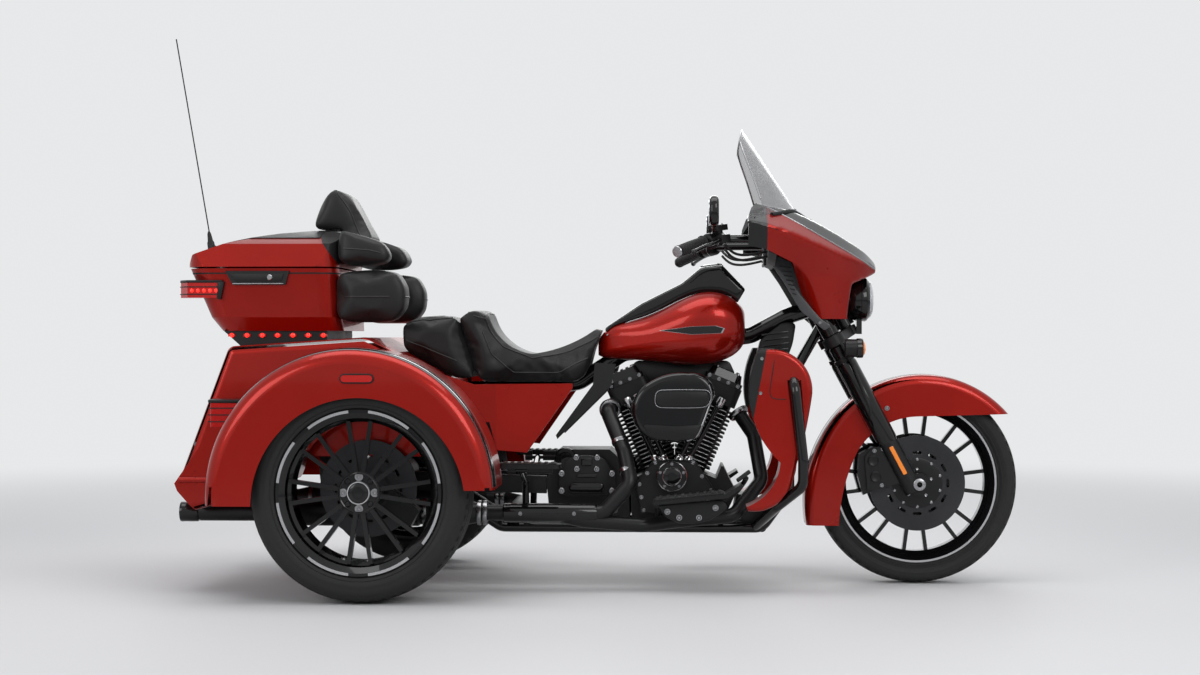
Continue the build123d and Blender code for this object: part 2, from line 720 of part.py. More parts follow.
crossover_route = [
    (-215, -MUFFLER_Y, MUFFLER_Z), (-266, -MUFFLER_Y + 60, MUFFLER_Z - 6),
    (-266, MUFFLER_Y - 60, MUFFLER_Z - 6), (-320, MUFFLER_Y, MUFFLER_Z),
    (MUFFLER_FRONT, MUFFLER_Y, MUFFLER_Z),
]
with BuildPart() as exhaust:
    add(rod(rear_header_route, PIPE_R, 38))
    add(rod(front_header_route, PIPE_R - 2, 45))
    add(rod(crossover_route, PIPE_R - 4, 30))
    for side in (-1, 1):
        can_front = (MUFFLER_FRONT, side * MUFFLER_Y, MUFFLER_Z)
        can = MUFFLER_LENGTH
        with BuildSketch(Plane(origin=can_front, x_dir=(-1, 0, 0), z_dir=(0, 1, 0))):
            with BuildLine():
                Polyline(
                    (-60, 0), (-60, PIPE_R), (0, MUFFLER_R), (150, MUFFLER_R), (156, MUFFLER_R + 5),
                    (can - 60, MUFFLER_R + 5), (can - 40, MUFFLER_R), (can, TAIL_R + 3),
                    (tail_length - SPIGOT, TAIL_R + 3), (tail_length - SPIGOT, TAIL_R),
                    (tail_length, TAIL_R), (tail_length, 0), close=True,
                )
            make_face()
        revolve(axis=Axis(can_front, (1, 0, 0)))
        with BuildSketch(Plane(origin=(TAIL_END, side * MUFFLER_Y, MUFFLER_Z), x_dir=(0, 1, 0),
                               z_dir=(1, 0, 0))):
            Circle(TAIL_R - 4)
        extrude(amount=SPIGOT + 60, mode=Mode.SUBTRACT)
    # The headers butt against the cylinder heads.
    for lean in (-1, 1):
        add(finned_cylinder(lean), mode=Mode.SUBTRACT)

# ---------------------------------------------------------------------------------------------
# Tank and console
# ---------------------------------------------------------------------------------------------
tank_sections = [
    # x, bottom, top, width, corner radius
    (2, 722, 768, 70, 20),
    (116, 708, 832, 210, 48),
    (255, 695, 892, 318, 76),
    (375, 700, 922, 350, 84),
    (438, 728, 896, 300, 70),
    (468, 780, 850, 170, 30),
]
with BuildPart() as fuel_tank:
    for x, bottom, top, width, corner in tank_sections:
        with BuildSketch(front_plane(x)):
            with Locations((0, (bottom + top) / 2)):
                RectangleRounded(width, top - bottom, corner)
    loft()
    add(backbone_channel.part, mode=Mode.SUBTRACT)

with BuildPart() as console:
    with BuildSketch(side_plane(-58)):
        with BuildLine():
            Polyline(
                (22, 806), (140, 885), (270, 950), (330, 1000), (395, 1008), (470, 930), (440, 880),
                (375, 880), (255, 850), (116, 790), (40, 770), close=True,
            )
        make_face()
    extrude(amount=-116)
    add(fuel_tank.part, mode=Mode.SUBTRACT)

# ---------------------------------------------------------------------------------------------
# Seats
# ---------------------------------------------------------------------------------------------
SEAT_HALF = 165.0
SEAT_NOSE_HALF = 78.0
with BuildPart() as rider_seat:
    with BuildSketch(side_plane(-SEAT_HALF)):
        with BuildLine():
            Line((-436, 850), (-410, 866))
            ThreePointArc((-410, 866), (-372, 874), (-344, 848))
            ThreePointArc((-344, 848), (-293, 764), (-200, 724))
            ThreePointArc((-200, 724), (-86, 755), (20, 822))
            Polyline((20, 822), (-10, 740), (-30, 660), (-60, 640), (-377, 640), (-436, 850))
        make_face()
    extrude(amount=-2 * SEAT_HALF)
    # In plan the seat narrows towards the tank.
    with BuildSketch(Plane.XY.offset(600)):
        with BuildLine():
            Line((-460, -SEAT_HALF), (-300, -SEAT_HALF))
            TangentArc((-300, -SEAT_HALF), (30, -SEAT_NOSE_HALF), tangent=(1, 0))
            Line((30, -SEAT_NOSE_HALF), (30, SEAT_NOSE_HALF))
            TangentArc((-300, SEAT_HALF), (30, SEAT_NOSE_HALF), tangent=(1, 0))
            Line((-300, SEAT_HALF), (-460, SEAT_HALF))
            Line((-460, SEAT_HALF), (-460, -SEAT_HALF))
        make_face()
    extrude(amount=320, mode=Mode.INTERSECT)
    add(backbone_channel.part, mode=Mode.SUBTRACT)

with BuildPart() as passenger_seat:
    with BuildSketch(side_plane(-SEAT_HALF)):
        with BuildLine():
            Polyline((-620, 822), (-573, 839), (-436.1, 849), (-378.5, 644), (-450, 654),
                     (-480, 668.4), (-615, 744.7), close=True)
        make_face()
    extrude(amount=-2 * SEAT_HALF)

# ---------------------------------------------------------------------------------------------
# Rear body, door and fenders
# ---------------------------------------------------------------------------------------------
body_outline = [
    (-1106, 752), (-687, 780), (-625, 750), (-480, 668), (-452, 590), (-452, 420), (-1000, 420),
    (-1040, 300), (-1207, 254), (-1260, 313), (-1269, 336), (-1253, 359),
]


def body_top_z(x):
    """The height of the body's sloped top at x."""
    (rear_x, rear_z), (front_x, front_z) = body_outline[:2]
    return rear_z + (front_z - rear_z) * (x - rear_x) / (front_x - rear_x)


def door_prism(grow, depth):
    """A block over the doorway, grown by grow on each side, that runs forward by depth."""
    with BuildPart() as prism:
        with BuildSketch(front_plane(-1400)):
            with Locations((0, (DOOR_LOW + DOOR_HIGH) / 2)):
                RectangleRounded(2 * (DOOR_HALF + grow), DOOR_HIGH - DOOR_LOW + 2 * grow, 40)
        extrude(amount=depth)
    return prism.part


doorway = door_prism(SEAM, 350)
door_block = door_prism(0, 350)
with BuildPart() as body_inside:
    with BuildSketch(side_plane(-BODY_HALF + PANEL)):
        with BuildLine():
            Polyline(*body_outline, close=True)
        make_face()
        offset(amount=-PANEL)
    extrude(amount=-2 * (BODY_HALF - PANEL))
    chamfer(body_inside.edges().filter_by(Axis.Y).sort_by(Axis.Z)[-2:], BODY_EDGE_R / 2)
with BuildPart() as rear_body:
    with BuildSketch(side_plane(-BODY_HALF)):
        with BuildLine():
            Polyline(*body_outline, close=True)
        make_face()
    extrude(amount=-2 * BODY_HALF)
    top_and_rear = [
        edge for edge in rear_body.edges()
        if abs(abs(edge.center().Y) - BODY_HALF) < 0.01
        and (edge.center().Z > 700 or edge.center().X < -1120) and edge.length > 80
    ]
    fillet(top_and_rear, BODY_EDGE_R)
    fillet(rear_body.edges().filter_by(Axis.Y).sort_by(Axis.Z)[-2:], BODY_EDGE_R)
    add(body_inside.part, mode=Mode.SUBTRACT)
    add(doorway, mode=Mode.SUBTRACT)
    for side in (-1, 1):
        with BuildSketch(front_plane(-1300)):
            with Locations((side * MUFFLER_Y, MUFFLER_Z)):
                Circle(TAIL_R + 14)
        extrude(amount=320, mode=Mode.SUBTRACT)

door_slope = (body_outline[0][0] - body_outline[-1][0]) / (body_outline[0][1] - body_outline[-1][1])
with BuildPart() as trunk_door:
    with BuildSketch(side_plane(-BODY_HALF)):
        low_x = body_outline[-1][0]
        low_z = body_outline[-1][1]
        high_x = body_outline[0][0]
        high_z = body_outline[0][1]
        Polygon(
            (low_x, low_z), (high_x, high_z), (high_x + DOOR_T, high_z), (low_x + DOOR_T, low_z),
            align=None,
        )
    extrude(amount=-2 * BODY_HALF)
    add(door_block, mode=Mode.INTERSECT)

# The door's hinges: pins on the body's skin under the doorway, and barrels on the door.
HINGE_R = 7.0
HINGE_PIN_R = 3.5
DOOR_HINGES = (-200.0, 200.0)
HINGE_LENGTH = 60.0
HINGE_LUG = 12.0
door_hinge_x = body_outline[-1][0] + door_slope * (DOOR_LOW - SEAM / 2 - body_outline[-1][1]) - 8.5
door_hinge_z = DOOR_LOW - SEAM / 2 + 1.5
LID_HINGES = (-1130.0, -900.0)
lid_hinge_y = BOX_HALF + 11.0


def hinge_pin(centre, direction, foot):
    """A pin with a lug at each end; foot is the box that ties each lug down, as size and shift."""
    plane = Plane(origin=centre, z_dir=direction)
    size, shift = foot
    with BuildPart() as pin:
        with Locations(plane):
            Cylinder(HINGE_PIN_R, HINGE_LENGTH + 2 * HINGE_LUG)
        for end in (-1, 1):
            along = end * (HINGE_LENGTH / 2 + HINGE_LUG / 2 + 1)
            place = Vector(*centre) + Vector(*direction) * along
            with Locations(Plane(origin=place, z_dir=direction)):
                Cylinder(HINGE_R, HINGE_LUG)
            with Locations(place + Vector(*shift)):
                Box(*size)
    return pin.part


def hinge_barrel(centre, direction, foot):
    """The barrel that turns on a hinge pin, with the foot that ties it to its panel."""
    plane = Plane(origin=centre, z_dir=direction)
    size, shift = foot
    with BuildPart() as barrel:
        with Locations(plane):
            Cylinder(HINGE_R, HINGE_LENGTH)
        with Locations(Vector(*centre) + Vector(*shift)):
            Box(*size)
        with Locations(plane):
            Cylinder(HINGE_PIN_R + RUNNING_GAP, HINGE_LENGTH + 2, mode=Mode.SUBTRACT)
    return barrel.part


with BuildPart() as rear_body_hinged:
    add(rear_body.part)
    for y in DOOR_HINGES:
        add(hinge_pin((door_hinge_x, y, door_hinge_z), (0, 1, 0), ((11, HINGE_LUG, 14), (3.5, 0, -9))))
with BuildPart() as trunk_door_hinged:
    add(trunk_door.part)
    for y in DOOR_HINGES:
        add(hinge_barrel((door_hinge_x, y, door_hinge_z), (0, 1, 0), ((12, HINGE_LENGTH, 12), (6, 0, 9))))

FENDER_ARCH_R = 312.0
FENDER_ARCH_X = -666.0
FENDER_ARCH_Z = 292.0


def fender_profile():
    """The fender's side outline, in the current line builder."""
    top_arc = ThreePointArc((-888, 700), (-692, 748), (-484, 692))
    rear_arc = TangentArc(top_arc @ 0, (-1119, 289), tangent=-(top_arc % 0))
    front_arc = TangentArc(top_arc @ 1, (-271, 337), tangent=top_arc % 1)
    Polyline(front_arc @ 1, (-500, 337), (-500, 289), rear_arc @ 1)


def fender_form(inset):
    """The fender's filled form with its rounded crown; the inset one runs out below and inside."""
    side = FENDER_OUT - inset
    with BuildPart() as form:
        with BuildSketch(side_plane(-side)):
            with BuildLine():
                fender_profile()
            make_face()
            if inset:
                offset(amount=-inset)
        extrude(amount=-(side - BODY_HALF + (inset and 10)))
        crown = [
            edge for edge in form.edges()
            if abs(edge.center().Y + side) < 0.01 and edge.length > 150 and edge.center().Z > 400
        ]
        fillet(crown, FENDER_CROWN_R - inset)
        if inset:
            with BuildSketch(side_plane(-side)):
                Polygon((-1113, 250), (-284, 250), (-284, 345), (-1100, 345), align=None)
            extrude(amount=-(side - BODY_HALF + 10))
    return form.part


fender_solid = fender_form(0)
fender_hollow = fender_form(PANEL)
with BuildPart() as rear_fender_right:
    add(fender_solid)
    add(fender_hollow, mode=Mode.SUBTRACT)
    with BuildSketch(side_plane(-FENDER_OUT + 20)):
        with Locations((FENDER_ARCH_X, FENDER_ARCH_Z)):
            Circle(FENDER_ARCH_R)
        with Locations((FENDER_ARCH_X, FENDER_ARCH_Z - 50)):
            Rectangle(2 * FENDER_ARCH_R, 100)
    extrude(amount=40, mode=Mode.SUBTRACT)

# ---------------------------------------------------------------------------------------------
# Rear axle
# ---------------------------------------------------------------------------------------------
HOUSING_END = REAR_TRACK / 2 - REAR_HUB_HALF - 42.0
with BuildPart() as rear_axle:
    with Locations(Plane(origin=(REAR_AXLE_X, 0, REAR_Z), x_dir=(1, 0, 0), z_dir=(0, 1, 0))):
        Cylinder(38, 2 * HOUSING_END)
        Cylinder(88, 120)
    for side in (-1, 1):
        with BuildSketch(side_plane(side * 85).offset(-15)):
            with BuildLine():
                Polyline((REAR_AXLE_X, 296), (-160, 285), (-160, 340), (REAR_AXLE_X, 356), close=True)
            make_face()
        extrude(amount=30)
    with Locations(Plane(origin=(REAR_AXLE_X, 0, REAR_Z), x_dir=(1, 0, 0), z_dir=(0, 1, 0))):
        Cylinder(REAR_SHAFT_R + RUNNING_GAP, 2 * HOUSING_END + 10, mode=Mode.SUBTRACT)

# ---------------------------------------------------------------------------------------------
# Top box
# ---------------------------------------------------------------------------------------------
box_sections = [
    # z, rear x, front x, half width, corner radius
    (BOX_FLOOR_Z, -1170, BOX_FRONT_X + 12, 244, 50),
    (842, -1202, BOX_FRONT_X + 8, 268, 60),
    (BOX_SEAM_Z - SEAM / 2, BOX_REAR_X, BOX_FRONT_X, BOX_HALF, 70),
]


def box_form(inset, rise):
    """The box body's outer form, made smaller by inset and carried up past the seam by rise."""
    with BuildPart() as form:
        for z, rear_x, front_x, half, corner in box_sections:
            with BuildSketch(Plane.XY.offset(z + inset)):
                with Locations(((rear_x + front_x) / 2, 0)):
                    RectangleRounded(front_x - rear_x - 2 * inset, 2 * (half - inset), corner - inset)
        loft(ruled=True)
        if rise:
            top = form.faces().sort_by(Axis.Z)[-1]
            extrude(top, amount=rise)
    return form.part


with BuildPart() as topbox_body:
    add(box_form(0, 0))
    add(box_form(PANEL, 20), mode=Mode.SUBTRACT)


def lid_form(inset, drop):
    """The lid's outer form, made smaller by inset, and carried down past the seam by drop."""
    low = BOX_SEAM_Z + SEAM / 2
    with BuildPart() as form:
        with BuildSketch(side_plane(-BOX_HALF - 4)):
            with BuildLine():
                Polyline(
                    (BOX_REAR_X - 4, low), (BOX_REAR_X + 14, 1036), (-1134, 1078), (-1000, 1104),
                    (-880, 1118), (BOX_FRONT_X, 1110), (BOX_FRONT_X, low), close=True,
                )
            make_face()
            if inset:
                offset(amount=-inset)
        extrude(amount=-2 * (BOX_HALF + 4))
        with BuildSketch(front_plane(-1400)):
            with BuildLine():
                Line((-BOX_HALF - 3 + inset, low), (-BOX_HALF + 18 + inset, 1070 - inset))
                ThreePointArc((-BOX_HALF + 18 + inset, 1070 - inset), (0, 1122 - inset),
                              (BOX_HALF - 18 - inset, 1070 - inset))
                Line((BOX_HALF - 18 - inset, 1070 - inset), (BOX_HALF + 3 - inset, low))
                Line((BOX_HALF + 3 - inset, low), (-BOX_HALF - 3 + inset, low))
            make_face()
        extrude(amount=700, mode=Mode.INTERSECT)
        with BuildSketch(Plane.XY.offset(low)):
            with Locations(((BOX_REAR_X - 4 + BOX_FRONT_X) / 2, 0)):
                RectangleRounded(BOX_FRONT_X - BOX_REAR_X + 4 - 2 * inset, 2 * (BOX_HALF + 3 - inset), 72)
        extrude(amount=200, mode=Mode.INTERSECT)
        if drop:
            bottom = form.faces().sort_by(Axis.Z)[0]
            extrude(bottom, amount=drop)
    return form.part


with BuildPart() as topbox_lid:
    add(lid_form(0, 0))
    add(lid_form(PANEL, 20), mode=Mode.SUBTRACT)

with BuildPart() as topbox_body_hinged:
    add(topbox_body.part)
    for x in LID_HINGES:
        add(hinge_pin((x, lid_hinge_y, BOX_SEAM_Z), (1, 0, 0), ((HINGE_LUG, 15, 18), (0, -6, -10))))
    add(box_form(PANEL, 20), mode=Mode.SUBTRACT)
with BuildPart() as topbox_lid_hinged:
    add(topbox_lid.part)
    for x in LID_HINGES:
        add(hinge_barrel((x, lid_hinge_y, BOX_SEAM_Z), (1, 0, 0), ((HINGE_LENGTH, 14, 14), (0, -6, 9.5))))

# The base that carries the box on the rear body, with the row of small lamps in its edge.
with BuildPart() as topbox_base:
    with BuildSketch(side_plane(-238)):
        with BuildLine():
            Polyline(
                (-1160, BOX_FLOOR_Z), body_outline[0], (-835, body_top_z(-835)), (-835, BOX_FLOOR_Z),
                close=True,
            )
        make_face()
    extrude(amount=-476)

# ---------------------------------------------------------------------------------------------
# Panels and guards round the engine
# ---------------------------------------------------------------------------------------------
GUARD_R = 15.9
LOWER_EDGE_R = 16.0
guard_route = [
    (500, RAIL_Y + 6, RAIL_Z + 6), (560, 300, 262), (636, 368, 330), (636, 378, 404),
    (610, 372, 640), (600, 270, 682), (626, 44, 662),
]
with BuildPart() as guard_right:
    add(rod([(x, -y, z) for x, y, z in guard_route], GUARD_R, 48))
    add(frame.part, mode=Mode.SUBTRACT)
engine_guard = both_sides(guard_right.part.solids().sort_by(SortBy.VOLUME)[-1])

guard_clear = rod([(x, -y, z) for x, y, z in guard_route], GUARD_R + SEAT_GAP, 48)
with BuildPart() as lower_right:
    with BuildSketch(side_plane(-362)):
        with BuildLine():
            Line((505, 744), (540, 744))
            brow = TangentArc((540, 744), (664, 600), tangent=(1, 0))
            front = TangentArc(brow @ 1, (604, 336), tangent=brow % 1)
            toe = TangentArc(front @ 1, (470, 252), tangent=front % 1)
            Line(toe @ 1, (466, 266))
            ThreePointArc((466, 266), (540, 322), (568, 400))
            ThreePointArc((568, 400), (498, 500), (505, 744))
        make_face()
    extrude(amount=-120)
    outer_rim = [
        edge for edge in lower_right.edges()
        if abs(edge.center().Y + 362) < 0.01 and edge.center().X > 580
    ]
    fillet(outer_rim, LOWER_EDGE_R)
    with BuildSketch(side_plane(-362)):
        with BuildLine():
            Polyline((588, 650), (630, 650), (650, 404), (650, 318), (560, 240), (540, 250), (612, 340),
                     (618, 404), close=True)
        make_face()
    extrude(amount=-60, mode=Mode.SUBTRACT)
    add(guard_clear, mode=Mode.SUBTRACT)
lower_fairings = both_sides(lower_right.part.solids().sort_by(SortBy.VOLUME)[-1])

with BuildPart() as side_cover:
    with BuildSketch(Plane.XY.offset(400)):
        with BuildLine():
            Polyline((-500, -420), (-452, -420), (-300, -306), (-70, -222), (-70, -214), (-300, -298),
                     (-458, -412), (-500, -412), close=True)
        make_face()
    extrude(amount=320)
    with BuildSketch(side_plane(-450)):
        with BuildLine():
            Polyline((-452, 668), (-364, 636), (-60, 636), (-208, 424), (-298, 433), (-320, 520),
                     (-452, 520), close=True)
        make_face()
    extrude(amount=-300, mode=Mode.INTERSECT)
    with BuildSketch(side_plane(-300)):
        with Locations((-300, 606)):
            Circle(9)
    extrude(amount=-300)
    add(frame.part, mode=Mode.SUBTRACT)
side_covers = both_sides(side_cover.part.solids().sort_by(SortBy.VOLUME)[-1])

with BuildPart() as deflector:
    with BuildSketch(side_plane(-196)):
        with BuildLine():
            Polyline((-8, 632), (-2, 700), (64, 696), (48, 627), (-119, 462), (-124, 474), close=True)
        make_face()
    extrude(amount=-6)
    with BuildSketch(side_plane(-192)):
        with Locations((20, 684)):
            Circle(8)
    extrude(amount=-192)
    add(frame.part, mode=Mode.SUBTRACT)
deflectors = both_sides(deflector.part.solids().sort_by(SortBy.VOLUME)[-1])

with BuildPart() as oil_cooler:
    with BuildSketch(side_plane(-90)):
        with BuildLine():
            Polyline((428, 205), (506, 186), (548, 230), (500, 275), (442, 285), close=True)
        make_face()
    extrude(amount=-180)
    add(frame.part, mode=Mode.SUBTRACT)

# ---------------------------------------------------------------------------------------------
# Footboards
# ---------------------------------------------------------------------------------------------
board_stays = [
    [(195, 330, 266), (195, 204, 258), (195, 200, 187), (195, 138, 184)],
    [(392, 330, 292), (392, 130, 292), (392, 130, 190)],
]
with BuildPart() as footboard:
    with BuildSketch(side_plane(-392)):
        with BuildLine():
            Polyline((183, 272), (183, 284), (400, 306), (450, 336), (456, 328), (408, 294), close=True)
        make_face()
    extrude(amount=-124)
    for route in board_stays:
        add(rod([(x, -y, z) for x, y, z in route], 9, 14))
    add(frame.part, mode=Mode.SUBTRACT)
footboard_right = footboard.part.solids().sort_by(SortBy.VOLUME)[-1]
footboards = both_sides(footboard_right)

BOARD_LENGTH = 196.0
BOARD_WIDTH = 88.0
with BuildPart() as passenger_board_right:
    with BuildSketch(Plane.XY.offset(BOARD_HINGE_Z + 8)):
        with Locations((BOARD_X, -BOARD_HINGE_Y - BOARD_WIDTH / 2 + 8)):
            RectangleRounded(BOARD_LENGTH, BOARD_WIDTH, 20)
    extrude(amount=14)
    with Locations(Plane(origin=(BOARD_X, -BOARD_HINGE_Y, BOARD_HINGE_Z), z_dir=(1, 0, 0))):
        Cylinder(11, BOARD_LENGTH - 60)
    with BuildSketch(Plane.XY.offset(BOARD_HINGE_Z)):
        with Locations((BOARD_X, -BOARD_HINGE_Y - 6)):
            Rectangle(BOARD_LENGTH - 60, 16)
    extrude(amount=10)
    with Locations(Plane(origin=(BOARD_X, -BOARD_HINGE_Y, BOARD_HINGE_Z), z_dir=(1, 0, 0))):
        Cylinder(BOARD_PIN_R + RUNNING_GAP, BOARD_LENGTH, mode=Mode.SUBTRACT)
    # The notch leaves room for the arm while the board folds up.
    with BuildSketch(Plane.XY.offset(BOARD_HINGE_Z - 14)):
        with Locations((BOARD_ARM_X, -BOARD_HINGE_Y + 4)):
            Rectangle(36, 40)
    extrude(amount=40, mode=Mode.SUBTRACT)

# ---------------------------------------------------------------------------------------------
# Backrest pads
# ---------------------------------------------------------------------------------------------
PAD_BACK = BOX_FRONT_X + SEAT_GAP


def pad_plan(front_x, opening_x, opening_half):
    """A pad's U-shaped plan, in the current sketch."""
    with Locations(((PAD_BACK + front_x) / 2, 0)):
        RectangleRounded(front_x - PAD_BACK, 2 * BOX_HALF + 4, 24)
    with Locations(((opening_x + front_x + 40) / 2, 0)):
        Rectangle(front_x + 40 - opening_x, 2 * opening_half, mode=Mode.SUBTRACT)


with BuildPart() as backrest_lower:
    with BuildSketch(Plane.XY.offset(790)):
        pad_plan(-579, -716, 175)
    extrude(amount=250)
    with BuildSketch(side_plane(-400)):
        with BuildLine():
            Polyline((PAD_BACK, 826), (-620, 826), (-584, 870), (-579, 930), (-610, 985),
                     (PAD_BACK, 988), close=True)
        make_face()
    extrude(amount=-800, mode=Mode.INTERSECT)
    add(box_form(-SEAT_GAP, 0), mode=Mode.SUBTRACT)
with BuildPart() as backrest_upper:
    with BuildSketch(Plane.XY.offset(900)):
        pad_plan(-628, -722, 175)
    extrude(amount=400)
    with BuildSketch(side_plane(-400)):
        with BuildLine():
            Polyline((PAD_BACK, 1003), (-645, 1003), (-628, 1030), (-652, 1068), (-717, 1090),
                     (PAD_BACK, 1112), close=True)
        make_face()
    extrude(amount=-800, mode=Mode.INTERSECT)
    with BuildSketch(side_plane(-112)):
        with BuildLine():
            Polyline((PAD_BACK, 1030), (-735, 1030), (-722, 1100), (-790, 1225), (-842, 1268),
                     (-868, 1240), (-905, 1135), (-898, 1124.5), (PAD_BACK, 1124.5), close=True)
        make_face()
    extrude(amount=-224)

# ---------------------------------------------------------------------------------------------
# Lamps, latch and antenna
# ---------------------------------------------------------------------------------------------
with BuildPart() as box_lamp:
    with BuildSketch(Plane.XY.offset(902)):
        with BuildLine():
            Polyline((-1292, -190), (-1292, -250), (-1262, -290), (-1165, -290), (-1165, -190), close=True)
        make_face()
    extrude(amount=48)
    add(box_form(0, 0), mode=Mode.SUBTRACT)
with BuildPart() as tail_lamp:
    with BuildSketch(Plane.XY.offset(514)):
        with Locations((-1080, -505)):
            RectangleRounded(98, 110, 12)
    extrude(amount=70)
    add(fender_solid, mode=Mode.SUBTRACT)
STRIP_LAMPS = 7
STRIP_PITCH = 48.0
with BuildPart() as strip_lamps:
    with BuildSketch(side_plane(-238)):
        with Locations((-990, 786)):
            with GridLocations(STRIP_PITCH, 1, STRIP_LAMPS, 1):
                Rectangle(22, 8)
    extrude(amount=4)
with BuildPart() as side_marker:
    with BuildSketch(side_plane(-FENDER_OUT)):
        with Locations((-668, 660)):
            SlotOverall(92, 20)
    extrude(amount=6)
right_lamps = [box_lamp.part, tail_lamp.part, strip_lamps.part, side_marker.part]
rear_lamps = Compound(
    [solid for lamp in right_lamps for solid in lamp.solids()]
    + [mirror(solid, about=Plane.XZ) for lamp in right_lamps for solid in lamp.solids()]
)

with BuildPart() as box_latch:
    with BuildSketch(side_plane(-292)):
        with BuildLine():
            Polyline((-1144, 985), (-944, 985), (-956, 942), (-1120, 942), close=True)
        make_face()
    extrude(amount=-26)
    add(box_form(0, 0), mode=Mode.SUBTRACT)

ANTENNA_FOOT = (-1216, -150, 1052)
ANTENNA_TIP = (-1328, -165, 1722)
with BuildPart() as antenna_mast:
    with BuildSketch(Plane(origin=ANTENNA_FOOT, z_dir=Vector(*ANTENNA_TIP) - Vector(*ANTENNA_FOOT))):
        Circle(2)
    extrude(amount=(Vector(*ANTENNA_TIP) - Vector(*ANTENNA_FOOT)).length)
with BuildPart() as antenna:
    add(antenna_mast.part)
    with BuildSketch(Plane.XY.offset(1030)):
        with Locations(ANTENNA_FOOT[:2]):
            Circle(11)
    extrude(amount=40)
    add(lid_form(0, 20), mode=Mode.SUBTRACT)
antenna_solid = antenna.part.solids().sort_by(SortBy.VOLUME)[-1]

with BuildPart() as mirror_right:
    with BuildSketch(front_plane(352)):
        with Locations((-440, 1156)):
            RectangleRounded(150, 92, 38)
    extrude(amount=30)
    add(rod([(362, -430, 1120), (366, -370, 1104), (372, -299, 1080)], 6, 14))
    add(handlebar.part, mode=Mode.SUBTRACT)
mirrors = both_sides(mirror_right.part.solids().sort_by(SortBy.VOLUME)[-1])

with BuildPart() as turn_lamps:
    with Locations(Plane(origin=(800, 0, 746), x_dir=(1, 0, 0), z_dir=(0, 1, 0))):
        Cylinder(9, 400)
    for side in (-1, 1):
        with Locations((785, side * FORK_HALF_SPACING, 746)):
            Box(46, 40, 34)
        with BuildSketch(front_plane(775)):
            with Locations((side * 205, 746)):
                Circle(28)
        extrude(amount=50)
    add(fork_upper.part, mode=Mode.SUBTRACT)
turn_lamp_bar = turn_lamps.part.solids().sort_by(SortBy.VOLUME)[-1]

HOSE_R = 4.5
# Each hose runs down outside its slider, from the lower yoke to the caliper.
hose_route = [fork_point(-YOKE_AT, -46, -146), fork_point(-190, -46, -160), fork_point(-330, -62, -160),
              (866, -124, 500), (858, -112, 424)]
with BuildPart() as hose_right:
    add(rod(hose_route, HOSE_R, 44))
    add(front_calipers, mode=Mode.SUBTRACT)
    add(front_fender.part, mode=Mode.SUBTRACT)
    add(fork_sliders.part, mode=Mode.SUBTRACT)
    add(fork_upper.part, mode=Mode.SUBTRACT)
brake_hoses = both_sides(hose_right.part.solids().sort_by(SortBy.VOLUME)[-1])

with BuildPart() as rear_caliper:
    with BuildSketch(side_plane(-REAR_DISC_Y - 22)):
        with BuildLine():
            Polyline((-560, 300), (-515, 262), (-545, 206), (-592, 236), (-640, 300), (-620, 340),
                     close=True)
        make_face()
    extrude(amount=-62)
    with BuildSketch(side_plane(-REAR_DISC_Y).offset(-CALIPER_SLOT / 2)):
        with Locations((REAR_AXLE_X, REAR_Z)):
            Circle(REAR_DISC_R + 6)
    extrude(amount=CALIPER_SLOT, mode=Mode.SUBTRACT)
    with BuildSketch(side_plane(-REAR_DISC_Y).offset(CALIPER_SLOT / 2)):
        with Locations((REAR_AXLE_X, REAR_Z)):
            Circle(REAR_HUB_R + 8)
    extrude(amount=80, mode=Mode.SUBTRACT)
    add(rear_axle.part, mode=Mode.SUBTRACT)
rear_calipers = both_sides(rear_caliper.part.solids().sort_by(SortBy.VOLUME)[-1])

